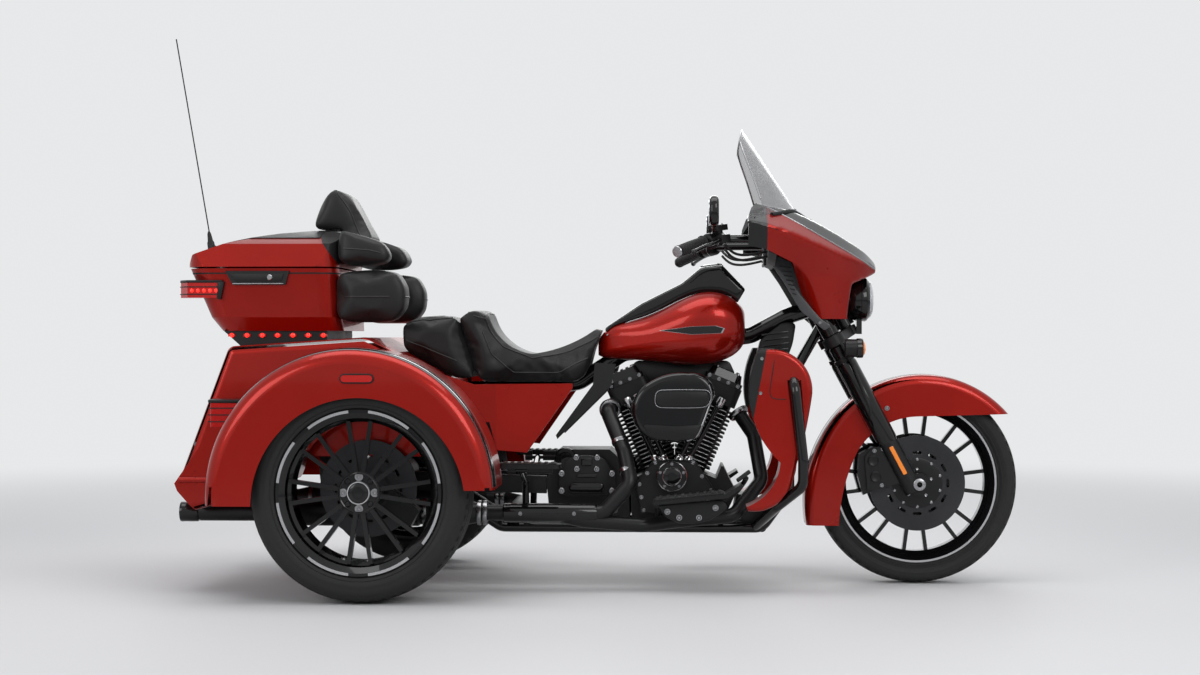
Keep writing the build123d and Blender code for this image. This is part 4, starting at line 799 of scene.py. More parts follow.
# Wheels
@dataclass
class Tyre:
    """A road tyre with grooves, shoulder slots and a ribbed side wall.

    Attributes:
        name: The piece's name.
        node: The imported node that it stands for.
        body: The wheel's body.
        centre: The wheel's middle.
        side: Radius and half width of the outline from the bead to the shoulder.
        crown: Radius and half width of the tread from the shoulder to the middle.
        grooves: The middle of each groove round the tread, as a half width.
        slots: How many shoulder slots there are round the tyre.
    """

    name: str
    node: str
    body: Body
    centre: Point
    side: Sequence[Flat]
    crown: Sequence[Flat]
    grooves: Sequence[float]
    slots: int
    groove_half: float = 0.0035
    groove_depth: float = 0.006
    wall: float = 0.012
    slot_rim: float = 0.0022
    slot_depth: float = 0.004

    def tread_radius(self, half: float) -> float:
        """Reads the tread's radius at a half width off the crown's points."""
        for (low_r, low_y), (high_r, high_y) in zip(self.crown, self.crown[1:]):
            if high_y <= half <= low_y:
                return low_r + (high_r - low_r) * (low_y - half) / (low_y - high_y)
        return self.crown[-1][0]

    def profile(self) -> list[Flat]:
        """Lists the whole section, out over the tread and back through the inside."""
        half = list(self.side)
        stops = sorted({y for _, y in self.crown} | {groove + shift for groove in self.grooves
            for shift in (-self.groove_half, self.groove_half)}, reverse=True)
        for y in stops:
            radius = self.tread_radius(y)
            if any(abs(y - groove) < self.groove_half * 1.001 for groove in self.grooves):
                cut = (radius - self.groove_depth, y)
                above = any(abs(y - groove - self.groove_half) < 1e-6 for groove in self.grooves)
                half += [(radius, y), cut] if above else [cut, (radius, y)]
            else:
                half.append((radius, y))
        outer = half + [(radius, -y) for radius, y in reversed(half) if y > 1e-6]
        inner = [(radius - self.wall if radius > self.side[3][0] else radius, y * 0.86) for radius,
            y in (self.side[0], self.side[4], self.crown[0])]
        return outer + [(r, -y) for r, y in inner] + [(r, y) for r, y in reversed(inner)]

    def build(self) -> None:
        """Spins the tyre and cuts its shoulder slots."""
        form = bmesh.new()
        dots = [form.verts.new((radius, 0, y)) for radius, y in self.profile()]
        edges = [form.edges.new(pair) for pair in zip(dots, dots[1:] + dots[:1])]
        bmesh.ops.spin(form, geom=dots + edges, cent=(0, 0, 0), axis=(0, 0, 1), dvec=(0, 0, 0),
            angle=2 * pi, steps=2 * self.slots, use_merge=True)
        bmesh.ops.remove_doubles(form, verts=form.verts, dist=SAME_POINT)
        bmesh.ops.recalc_face_normals(form, faces=form.faces)
        low, high = self.crown[1], self.crown[0]
        picked = []
        for face in form.faces:
            middle = face.calc_center_median()
            turn = atan2(middle.y, middle.x) / (2 * pi) * 2 * self.slots
            on_shoulder = low[1] * 0.98 < abs(middle.z) < high[1] * 1.01
            outside = middle.to_2d().length > self.crown[0][0] * 0.99
            if on_shoulder and outside and int(floor(turn + 0.001)) % 2 == 0:
                picked.append(face)
        bmesh.ops.inset_individual(form, faces=picked, thickness=self.slot_rim,
            depth=-self.slot_depth)
        lean = Matrix.Rotation(-pi / 2, 4, "X")
        thing = Work().take(form, Matrix.Translation(self.centre) @ lean).piece(self.name,
            "tyre_rubber", self.body)
        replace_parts(thing, self.node)


@dataclass
class RearWheelTrim:
    """The bright parts of one rear wheel.

    Attributes:
        side: -1 for the right wheel and 1 for the left one.
    """

    side: int
    pairs: int = 8
    lip_low: float = 0.2345
    lip_high: float = 0.2425
    lip_rise: float = 0.0012
    bolt_ring: float = 0.047
    hub_face: float = 0.642
    face: float = 0.655

    def build(self) -> None:
        """Makes the lip's bright arcs, the hub's bolts and the cap."""
        word = "right" if self.side < 0 else "left"
        body = Body.REAR_RIGHT if self.side < 0 else Body.REAR_LEFT
        centre = (REAR_AXLE[0], 0, REAR_AXLE[2])
        out = (0, self.side, 0)
        lip = Work()
        for number in range(self.pairs):
            lip.lathe([(self.lip_low, 0), (self.lip_high, 0), (self.lip_high, self.lip_rise),
                (self.lip_low, self.lip_rise)], (centre[0], self.side * self.face, centre[2]), out,
                10, turn=radians(31), start=radians(360 / self.pairs * number + 7))
        lip.piece(f"rim_lip_{word}", "brushed_dark_steel", body)

        bright, dark = Work(), Work()
        for number in range(8):
            place = around(centre, self.bolt_ring, 45 * number, self.side * self.hub_face)
            if number % 2:
                dark.lathe([(0, 0.004), (0.006, 0.004), (0.0085, 0.002), (0.0095, 0)], place, out,
                    20)
            else:
                bright.lathe([(0.0125, 0), (0.0125, 0.0015), (0.0115, 0.0025), (0.0085, 0.0025),
                    (0.0085, 0.0005), (0, 0.0005)], place, out, 24)
                bright.bolt(place, out, 0.0065, 0.009)
        bright.piece(f"hub_nuts_{word}", "machined_steel", body)
        dark.piece(f"hub_studs_{word}", "black_clearcoat", body)
        middle = (centre[0], self.side * self.hub_face, centre[2])
        Work().lathe([(0.0345, 0), (0.0345, 0.01), (0.033, 0.0125), (0.0305, 0.0125),
            (0.0295, 0.0105), (0.0295, 0)], middle, out, 64).piece(f"hub_ring_{word}",
            "machined_aluminium", body)
        Work().lathe([(0.0295, 0), (0.0295, 0.0095), (0.027, 0.011), (0.018, 0.0118),
            (0.0175, 0.0108), (0.014, 0.0108), (0.0135, 0.0121), (0, 0.0125)], middle, out,
            64).piece(f"hub_cap_{word}", "black_clearcoat", body)
        Work().lathe([(0.06, 0), (0.06, 0.004), (0.0575, 0.006), (0.0545, 0.004), (0.0545, 0)],
            middle, out, 64).piece(f"hub_step_{word}", "black_clearcoat", body)


@dataclass
class FrontWheelTrim:
    """The front hub's cap and bolts, the discs' bolts and the rim's bright lines."""

    disc_bolts: int = 5
    disc_ring: float = 0.046
    disc_face: float = 0.0828
    lip_face: float = 0.048

    def build(self) -> None:
        """Makes the pieces on both sides of the wheel."""
        centre = (FRONT_AXLE[0], 0, FRONT_AXLE[2])
        bolts, carrier, lip = Work(), Work(), Work()
        for side in SIDES:
            out = (0, side, 0)
            middle = (centre[0], side * self.disc_face, centre[2])
            carrier.lathe([(0.079, 0), (0.079, 0.0015), (0.074, 0.0028), (0.06, 0.0028),
                (0.052, 0.0036), (0.036, 0.0036), (0.036, 0)], middle, out, 64)
            for number in range(self.disc_bolts):
                angle = 360.0 / self.disc_bolts * number + 90
                bolts.bolt(around(centre, self.disc_ring, angle, side * (self.disc_face + 0.0026)),
                    out, 0.0055, 0.0018)
            for number in range(10):
                place = around(centre, 0.0745, 36 * number + 18, side * (self.disc_face + 0.001))
                bolts.lathe([(0, 0.0035), (0.0035, 0.0035), (0.005, 0.002), (0.005, 0)], place, out,
                    16)
            ring = (centre[0], side * self.lip_face, centre[2])
            lip.lathe([(0.2475, 0), (0.2475, 0.0008), (0.2535, 0.0008), (0.2535, 0)], ring, out, 96)
        carrier.piece("disc_carriers", "satin_black_coat", Body.FRONT_WHEEL)
        bolts.piece("disc_bolts", "machined_steel", Body.FRONT_WHEEL)
        lip.piece("front_rim_lip", "brushed_dark_steel", Body.FRONT_WHEEL)
        nut = Work()
        for side in SIDES:
            out = (0, side, 0)
            place = (centre[0], side * 0.1515, centre[2])
            nut.lathe([(0.0085, 0), (0.0085, 0.003), (0.017, 0.003), (0.019, 0.0015),
                (0.019, -0.004)], place, out, 32)
        nut.piece("axle_collars", "machined_steel", Body.STEERING)


@dataclass
class Wheels:
    """All three road wheels' looks."""

    rear_side: Sequence[Flat] = ((0.229, 0.084), (0.2435, 0.0855), (0.2475, 0.0905),
        (0.2485, 0.0965), (0.256, 0.1015), (0.258, 0.1005), (0.262, 0.1045), (0.274, 0.1072),
        (0.276, 0.1064), (0.284, 0.1072), (0.296, 0.1052), (0.298, 0.1036), (0.306, 0.0985))
    rear_crown: Sequence[Flat] = ((0.3155, 0.0885), (0.3205, 0.072), (0.324, 0.046),
        (0.3255, 0.022), (0.326, 0))
    front_side: Sequence[Flat] = ((0.242, 0.037), (0.2565, 0.0385), (0.2595, 0.042), (0.262, 0.048),
        (0.27, 0.056), (0.272, 0.0555), (0.278, 0.0605), (0.286, 0.0642), (0.288, 0.0636),
        (0.296, 0.0645), (0.303, 0.0622))
    front_crown: Sequence[Flat] = ((0.3085, 0.056), (0.314, 0.043), (0.318, 0.026), (0.3195, 0.012),
        (0.32, 0))

    def build(self) -> None:
        """Builds the tyres and the trim of each wheel."""
        for side, body in ((-1, Body.REAR_RIGHT), (1, Body.REAR_LEFT)):
            word = "right" if side < 0 else "left"
            Tyre(f"road_tyre_{word}", f"rear_tyre_{word}", body, (REAR_AXLE[0],
                side * REAR_TRACK / 2, REAR_AXLE[2]), self.rear_side, self.rear_crown,
                (0.058, 0.019), 62).build()
            RearWheelTrim(side).build()
        Tyre("road_tyre_front", "front_tyre", Body.FRONT_WHEEL, FRONT_AXLE, self.front_side,
            self.front_crown, (0.02,), 58, 0.0028, 0.005).build()
        FrontWheelTrim().build()


# Padded pieces
@dataclass
class Pad:
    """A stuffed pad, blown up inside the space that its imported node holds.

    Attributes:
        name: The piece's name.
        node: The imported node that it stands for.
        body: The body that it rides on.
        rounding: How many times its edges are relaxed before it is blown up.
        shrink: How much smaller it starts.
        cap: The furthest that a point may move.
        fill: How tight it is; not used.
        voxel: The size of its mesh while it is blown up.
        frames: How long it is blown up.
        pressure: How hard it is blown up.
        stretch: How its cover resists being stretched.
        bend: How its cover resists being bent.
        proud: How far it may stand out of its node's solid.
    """

    name: str
    node: str
    body: Body
    rounding: int = 10
    shrink: float = 0.008
    cap: float = 0.016
    fill: float = 0.8
    voxel: float = 0.0075
    frames: int = 18
    pressure: float = 4.0
    stretch: float = 12.0
    bend: float = 0.8
    proud: float = 0.004

    def remeshed(self) -> Thing:
        """Copies the node's solid into an even mesh.

        Returns:
            The copy, linked to the scene.
        """
        form = node_form(self.node)
        bmesh.ops.recalc_face_normals(form, faces=form.faces)
        pad = mesh_object(self.name, form)
        even = pad.modifiers.new("even", "REMESH")
        even.mode = "VOXEL"
        even.voxel_size = self.voxel
        even.adaptivity = 0.0
        self.settle(pad)
        return pad

    def settle(self, pad: Thing) -> None:
        """Applies a pad's modifiers to its mesh."""
        graph = bpy.context.evaluated_depsgraph_get()
        graph.update()
        done = bpy.data.meshes.new_from_object(pad.evaluated_get(graph))
        pad.modifiers.clear()
        old, pad.data = pad.data, done
        bpy.data.meshes.remove(old)

    def relax(self, pad: Thing, rounds: int, shrink: float) -> None:
        """Rounds a pad's edges off and draws its surface in.

        Args:
            pad: The pad.
            rounds: How many times its points are evened out.
            shrink: How far the surface is drawn in.
        """
        form = bmesh.new()
        form.from_mesh(pad.data)
        even_out(form, form.verts, rounds)
        for dot in form.verts:
            dot.co -= dot.normal * shrink
        form.to_mesh(pad.data)
        form.free()

    def swell(self, pad: Thing) -> None:
        """Blows a pad up as cloth and keeps each point near its start.

        Args:
            pad: The pad.
        """
        start = [dot.co.copy() for dot in pad.data.vertices]
        cloth = pad.modifiers.new("blown", "CLOTH")
        cloth.settings.use_pressure = True
        cloth.settings.uniform_pressure_force = self.pressure
        cloth.settings.tension_stiffness = self.stretch
        cloth.settings.compression_stiffness = self.stretch
        cloth.settings.bending_stiffness = self.bend
        cloth.settings.quality = 4
        cloth.settings.effector_weights.gravity = 0.0
        cloth.point_cache.frame_start = 1
        cloth.point_cache.frame_end = self.frames
        for number in range(1, self.frames + 1):
            bpy.context.scene.frame_set(number)
        self.settle(pad)
        bpy.context.scene.frame_set(1)
        for dot, first in zip(pad.data.vertices, start):
            step = dot.co - first
            if step.length > self.cap:
                dot.co = first + step * (self.cap / step.length)

    def keep_in(self, pad: Thing) -> None:
        """Brings points that left the node's solid by too far back to it."""
        form = node_form(self.node)
        tree = BVHTree.FromBMesh(form)
        form.free()
        for dot in pad.data.vertices:
            near, normal, _, _ = tree.find_nearest(dot.co)
            out = (dot.co - near).dot(normal)
            proud = self.proud if normal.z > -0.2 else 0.0
            if out > proud:
                dot.co = near + normal * proud

    def build(self) -> Thing:
        """Builds the pad.

        Returns:
            The pad's object.
        """
        pad = self.remeshed()
        self.relax(pad, self.rounding, self.shrink)
        self.swell(pad)
        self.relax(pad, 2, 0)
        self.set_in_place(pad, "black_leather")
        return pad

    def set_in_place(self, piece: Thing, finish: str) -> None:
        """Refines a piece and puts it in its node's place.

        Args:
            piece: The piece.
            finish: The finish that it wears.
        """
        self.keep_in(piece)
        finer = piece.modifiers.new("finer", "SUBSURF")
        finer.levels = finer.render_levels = 1
        self.settle(piece)
        for face in piece.data.polygons:
            face.use_smooth = True
        SHOP.coat(piece, finish)
        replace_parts(piece, self.node)
        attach(piece, self.body.value)
        log.info("set %s: %d faces", self.name, len(piece.data.polygons))


@dataclass
class RoundedBlock(Pad):
    """A moulded cover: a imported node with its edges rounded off."""

    finish: str = "black_clearcoat"
    grow: float = 0.002

    def build(self) -> Thing:
        """Builds the cover.

        Returns:
            The cover's object.
        """
        block = self.remeshed()
        self.relax(block, self.rounding, -self.grow)
        self.set_in_place(block, self.finish)
        return block


@dataclass
class Seam:
    """A welt that lies along a padded piece.

    Attributes:
        name: The piece's name.
        guides: Points near the surface that it follows.
        body: The body that it rides on.
        radius: The welt's radius.
    """

    name: str
    guides: Sequence[Sequence[Point]]
    body: Body
    radius: float = 0.0022
    spacing: float = 0.012

    def build(self, pad: Thing) -> None:
        """Lays the welt on a pad's surface, on both sides of the machine.

        Args:
            pad: The padded piece.
        """
        form = bmesh.new()
        form.from_mesh(pad.data)
        tree = BVHTree.FromBMesh(form)
        form.free()
        work = Work()
        for guide in self.guides:
            for side in SIDES:
                line: list[Point] = []
                for first, last in zip(guide, guide[1:]):
                    count = max(2, int((Vector(last) - Vector(first)).length / self.spacing))
                    for step in range(count):
                        place = Vector(first).lerp(Vector(last), step / count)
                        place.y *= -side
                        near, normal, _, _ = tree.find_nearest(place)
                        line.append(near + normal * self.radius * 0.2)
                work.tube(line, self.radius)
                if all(abs(point[1]) < 1e-6 for point in guide):
                    break
        work.piece(self.name, "welt_vinyl", self.body)


@dataclass
class SoftGoods:
    """The two seats and the wrap-round backrest, each with its welts."""

    sets: Sequence[tuple[Pad, Seam]] = (
        (Pad("rider_cushion", "rider_seat", Body.CHASSIS, 12, 0.006, 0.018, 0.8),
         Seam("seat_welts", (
             ((-0.398, -0.146, 0.85), (-0.344, -0.146, 0.835), (-0.293, -0.146, 0.752),
              (-0.2, -0.14, 0.714), (-0.086, -0.118, 0.742), (0.004, -0.082, 0.796)),
             ((-0.352, -0.166, 0.8), (-0.33, -0.16, 0.73), (-0.262, -0.15, 0.668),
              (-0.12, -0.12, 0.668), (-0.02, -0.085, 0.72)),
             ((-0.352, -0.14, 0.846), (-0.346, -0.07, 0.852), (-0.344, 0, 0.852)),
         ), Body.CHASSIS)),
        (Pad("pillion_cushion", "passenger_seat", Body.CHASSIS, 12, 0.005, 0.016, 0.8),
         Seam("pillion_welts", (
             ((-0.6, -0.146, 0.822), (-0.54, -0.146, 0.838), (-0.44, -0.146, 0.842)),
             ((-0.6, -0.166, 0.77), (-0.52, -0.166, 0.74), (-0.425, -0.166, 0.7)),
         ), Body.CHASSIS)),
        (Pad("backrest_wrap", "backrest_lower", Body.CHASSIS, 24, 0.001, 0.018, 0.85),
         Seam("wrap_welts", (
             ((-0.78, -0.282, 0.905), (-0.7, -0.288, 0.905), (-0.62, -0.284, 0.905)),
             ((-0.59, -0.268, 0.905), (-0.578, -0.23, 0.905), (-0.59, -0.19, 0.905)),
         ), Body.CHASSIS)),
        (Pad("backrest_crown", "backrest_upper", Body.LID, 24, 0.001, 0.018, 0.85),
         Seam("crown_welts", (
             ((-0.74, -0.108, 1.075), (-0.77, -0.106, 1.165), (-0.825, -0.1, 1.235),
              (-0.85, -0.06, 1.252), (-0.852, 0, 1.255)),
             ((-0.78, -0.284, 1.055), (-0.7, -0.284, 1.05), (-0.65, -0.276, 1.038)),
         ), Body.LID)),
    )

    def build(self) -> None:
        """Builds each cushion and its welts."""
        for pad, seam in self.sets:
            seam.build(pad.build())


@dataclass
class Surface:
    """Finds places on a surface.

    Attributes:
        tree: The surface, ready to be searched.
    """

    tree: BVHTree

    @classmethod
    def of_node(cls, node: str) -> "Surface":
        """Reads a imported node's surface."""
        form = node_form(node, 0)
        tree = BVHTree.FromBMesh(form)
        form.free()
        return cls(tree)

    def from_side(self, x: float, z: float, side: int) -> Point:
        """Finds the outermost place on one side.

        Args:
            x: The place's X.
            z: The place's Z.
            side: -1 for the right side and 1 for the left one.

        Returns:
            The place, or one on the middle plane where the node has none there.
        """
        hit = self.tree.ray_cast(Vector((x, side * 1.2, z)), Vector((0, -side, 0)))[0]
        return hit if hit else (x, 0, z)

    def from_top(self, x: float, y: float) -> Point:
        """Finds the highest place at an X and a Y.

        Args:
            x: The place's X.
            y: The place's Y.

        Returns:
            The place, or one on the ground where the node has none there.
        """
        hit = self.tree.ray_cast(Vector((x, y, 2.5)), Vector((0, 0, -1)))[0]
        return hit if hit else (x, y, 0)


def ring_of(outline: Sequence[Flat], share: float, about: Flat) -> list[Flat]:
    """Shrinks an outline about a point.

    Args:
        outline: The outline.
        share: How large the result is, as a share of the outline.
        about: The point that stays.

    Returns:
        The smaller outline.
    """
    return [(about[0] + (x - about[0]) * share, about[1] + (z - about[1]) * share) for x,
        z in outline]


# Fork and front fender
@dataclass
class ForkTrim:
    """The fork's covers, collars and reflectors, and the calipers' bolts."""

    setback: float = -0.06
    half: float = 0.118
    slider: float = 0.03
    cover_top: float = -0.168
    cover_low: float = -0.455

    def covers(self) -> None:
        """Makes the glossy covers, with thin bright tubes along their edges and rear sides as
        painted highlights.
        """
        axis = (-sin(RAKE), 0, cos(RAKE))
        cover, line, collar = Work(), Work(), Work()
        for side in SIDES:
            foot = fork_place(0, self.setback, side * self.half)
            reach = radians(210)
            start = radians(90 * side) - reach / 2
            wall = [(self.slider + 0.0003, self.cover_low),
                (self.slider + 0.0032, self.cover_low + 0.012),
                (self.slider + 0.0036, self.cover_top - 0.01),
                (self.slider + 0.0003, self.cover_top)]
            cover.lathe(wall, foot, axis, 26, turn=reach, start=start)
            # Thin bright tubes down both edges of each lower cover: painted highlights.
            for share in (0, 1):
                angle = start + reach * share
                radius = self.slider + 0.0034
                forward = self.setback + radius * cos(angle)
                lateral = side * self.half + radius * sin(angle)
                line.tube([fork_place(self.cover_low + 0.015, forward, lateral),
                    fork_place(self.cover_top - 0.012, forward, lateral)], 0.0011)
            for low, high in ((-0.158, -0.113), (-0.077, 0.03)):
                cover.lathe([(0.0247, low), (0.028, low + 0.003), (0.0285, high - 0.003),
                    (0.0247, high)], foot, axis, 26, turn=reach, start=start)
                # A thin bright tube down the rear side of each upper cover: a painted highlight.
                line.tube([fork_place(low, self.setback - 0.0275, side * (self.half + 0.008)),
                    fork_place(high, self.setback - 0.0275, side * (self.half + 0.008))], 0.0011)
            collar.lathe([(self.slider - 0.005, 0.006), (self.slider - 0.002, 0.01),
                (self.slider + 0.0035, 0.008), (self.slider + 0.0042, -0.004),
                (self.slider + 0.0003, -0.006)], fork_place(self.cover_top + 0.004, self.setback,
                side * self.half), axis, 40)
        cover.piece("fork_covers", "black_clearcoat", Body.STEERING)
        line.piece("fork_cover_edges", "machined_steel", Body.STEERING)
        collar.piece("fork_collars", "satin_black_coat", Body.STEERING)

    def reflectors(self) -> None:
        """Makes the amber reflectors low on the fork, with their holders; the reflectors wear the
        glowing amber finish, a painted glow.
        """
        lens, holder = Work(), Work()
        for side in SIDES:
            for work, grow, low, high in ((holder, 0.0022, 0.1445, 0.15), (lens, 0, 0.149, 0.1518)):
                corners = [fork_place(along, forward, side * low) for along,
                    forward in ((-0.468 + grow, -0.061 - 0.0065 - grow),
                    (-0.468 + grow, -0.061 + 0.0065 + grow),
                    (-0.565 - grow, -0.061 + 0.0065 + grow),
                    (-0.565 - grow, -0.061 - 0.0065 - grow))]
                work.slab(corners, (0, side * (high - low), 0), 0.003, 0.001)
        holder.piece("reflector_holders", "moulded_dark", Body.STEERING)
        lens.piece("fork_reflectors", "amber_lens", Body.STEERING)

    def calipers(self) -> None:
        """Makes the calipers' bolts, piston caps and bleed nipples."""
        bolts, caps = Work(), Work()
        for side in SIDES:
            out = (0, side, 0)
            for x, z in ((0.872, 0.424), (0.898, 0.43), (0.895, 0.316)):
                bolts.bolt((x, side * 0.126, z), out, 0.0052, 0.006)
            for x, z in ((0.868, 0.392), (0.876, 0.342)):
                caps.lathe([(0.0175, 0), (0.0175, 0.003), (0.0145, 0.005), (0.0125, 0.0035),
                    (0, 0.0035)], (x, side * 0.126, z), out, 32)
        bolts.piece("caliper_bolts", "machined_steel", Body.STEERING)
        caps.piece("caliper_caps", "satin_black_coat", Body.STEERING)

    def fender(self) -> None:
        """Makes the front fender's crest stripe, the thin bright bands along its edges as painted
        highlights, and its mounting bolts.
        """
        stripe, edge = Work(), Work()
        hub = Vector(FRONT_AXLE)

        def outer(middle: Vector, normal: Vector) -> bool:
            """Says whether a face is on the fender's outside."""
            away = middle - hub
            return away.dot(normal) > 0.25 * away.length and away.length > 0.33

        stripe.skin("front_fender", (((0, -0.03, 0), (0, 1, 0)), ((0, 0.03, 0), (0, -1, 0)),
            ((0, 0, 0.3), (0, 0, 1))), outer, 0.0006, 0.0012)
        # A thin bright band along each edge of the crest stripe: a painted highlight.
        for side in SIDES:
            edge.skin("front_fender", (((0, side * 0.0295, 0), (0, side, 0)),
                ((0, side * 0.0325, 0), (0, -side, 0)), ((0, 0, 0.3), (0, 0, 1))), outer, 0.0009,
                0.0015)
        stripe.piece("front_fender_stripe", "black_clearcoat", Body.STEERING)
        edge.piece("front_fender_lines", "machined_steel", Body.STEERING)
        bolts = Work()
        skin = Surface.of_node("front_fender")
        for side in SIDES:
            for x, z in ((0.864, 0.52), (0.915, 0.556)):
                bolts.bolt(skin.from_side(x, z, side), (0, side, 0), 0.0062, 0.006)
        bolts.piece("fender_bolts", "machined_steel", Body.STEERING)

    def build(self) -> None:
        """Builds every piece."""
        self.covers()
        self.reflectors()
        self.calipers()
        self.fender()


# Fairing, lamps and dash
@dataclass
class FairingShell:
    """The fairing's skin with softened creases, cut into its painted parts.

    Attributes:
        pitch: The size of the grid that the skin is cut into before it is softened.
        rounds: How often its points are evened out.
        rim: How far forward the dark rim reaches.
        crest: Height of the dark crest's edge at the rim, and how it falls toward the nose.
    """

    pitch: float = 0.013
    rounds: int = 9
    rim: float = 0.53
    crest: tuple[float, float] = (1.184, 0.545)

    def surface(self) -> Form:
        """Takes the skin off the node and softens it.

        Returns:
            The open, softened skin.
        """
        form = node_form("fairing")
        centre = Vector((0.6, 0, 1))
        lost = []
        for face in form.faces:
            middle = face.calc_center_median()
            away = middle - centre
            side = face.normal.y * away.y + face.normal.z * away.z
            behind = face.normal.x < -0.9 or middle.z < 0.838 and face.normal.z < -0.9
            if side + max(0, face.normal.x) * max(0, away.x) <= 0.0 or behind:
                lost.append(face)
        bmesh.ops.delete(form, geom=lost, context="FACES")
        for axis, low, high in ((0, 0.473, 0.885), (1, -0.364, 0.37), (2, 0.84, 1.205)):
            for number in range(int((high - low) / self.pitch) + 1):
                point, side = [0, 0, 0], [0, 0, 0]
                point[axis], side[axis] = low + number * self.pitch, 1.0
                cut(form, point, side, dist=0.0004)
        bmesh.ops.remove_doubles(form, verts=form.verts, dist=0.0008)
        for x, z, side in ((0.4725, 1.15, (-0.94, 0, 0.34)), (0.48, 1.176, (-0.72, 0, 0.69))):
            cut(form, (x, 0, z), side, clear_outer=True)
        inner = [dot for dot in form.verts if not dot.is_boundary]
        even_out(form, inner, self.rounds)
        return form

    def edge(self, x: float) -> float:
        """Gives the height of the dark crest's edge at a place along the machine."""
        return self.crest[0] - self.crest[1] * (x - self.rim)

    def part(self, skin: Form, name: str, finish: str, wall: float, keep: Callable[[Vector],
            bool]) -> Thing:
        """Makes one painted part of the skin.

        Args:
            skin: The softened skin.
            name: The part's name.
            finish: Its finish.
            wall: Its thickness.
            keep: Says by a face's middle whether it is in the part.

        Returns:
            The part's object.
        """
        form = skin.copy()
        for point, side in (((self.rim, 0, 0), (1, 0, 0)), ((self.rim, 0, self.crest[0]),
                (self.crest[1], 0, 1))):
            cut(form, point, side)
        lost = [face for face in form.faces if not keep(face.calc_center_median())]
        bmesh.ops.delete(form, geom=lost, context="FACES")
        part = Work().take(form).piece(name, finish, Body.STEERING, 60)
        shell = part.modifiers.new("wall", "SOLIDIFY")
        shell.thickness, shell.offset = wall, -1.0
        return part

    def build(self) -> Surface:
        """Builds the rim, the crest, the red shell and the thin bright tube along the crest's edge,
        a painted highlight.

        Returns:
            The softened skin, for what is set on it.
        """
        skin = self.surface()
        self.part(skin, "fairing_rim", "black_clearcoat", 0.01, lambda place: place.x < self.rim)
        self.part(skin, "fairing_crest", "black_clearcoat", 0.0035, lambda place: place.x > self.rim
            and place.z > self.edge(place.x))
        shell = self.part(skin, "fairing_shell", "red_clearcoat", 0.0035,
            lambda place: place.x > self.rim and place.z < self.edge(place.x))
        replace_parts(shell, "fairing")
        surface = Surface(BVHTree.FromBMesh(skin))
        skin.free()
        # A thin bright tube along the crest's edge, where the crease catches the light: a painted
        # highlight.
        line = Work()
        for side in SIDES:
            run = []
            for step in range(13):
                x = self.rim + 0.003 + step * 0.0285
                place = surface.from_side(x, self.edge(x), side)
                run.append((x, place[1] + side * 0.0004, place[2]))
            line.tube(run, 0.0028)
        line.piece("fairing_crest_lines", "machined_steel", Body.STEERING)
        return surface


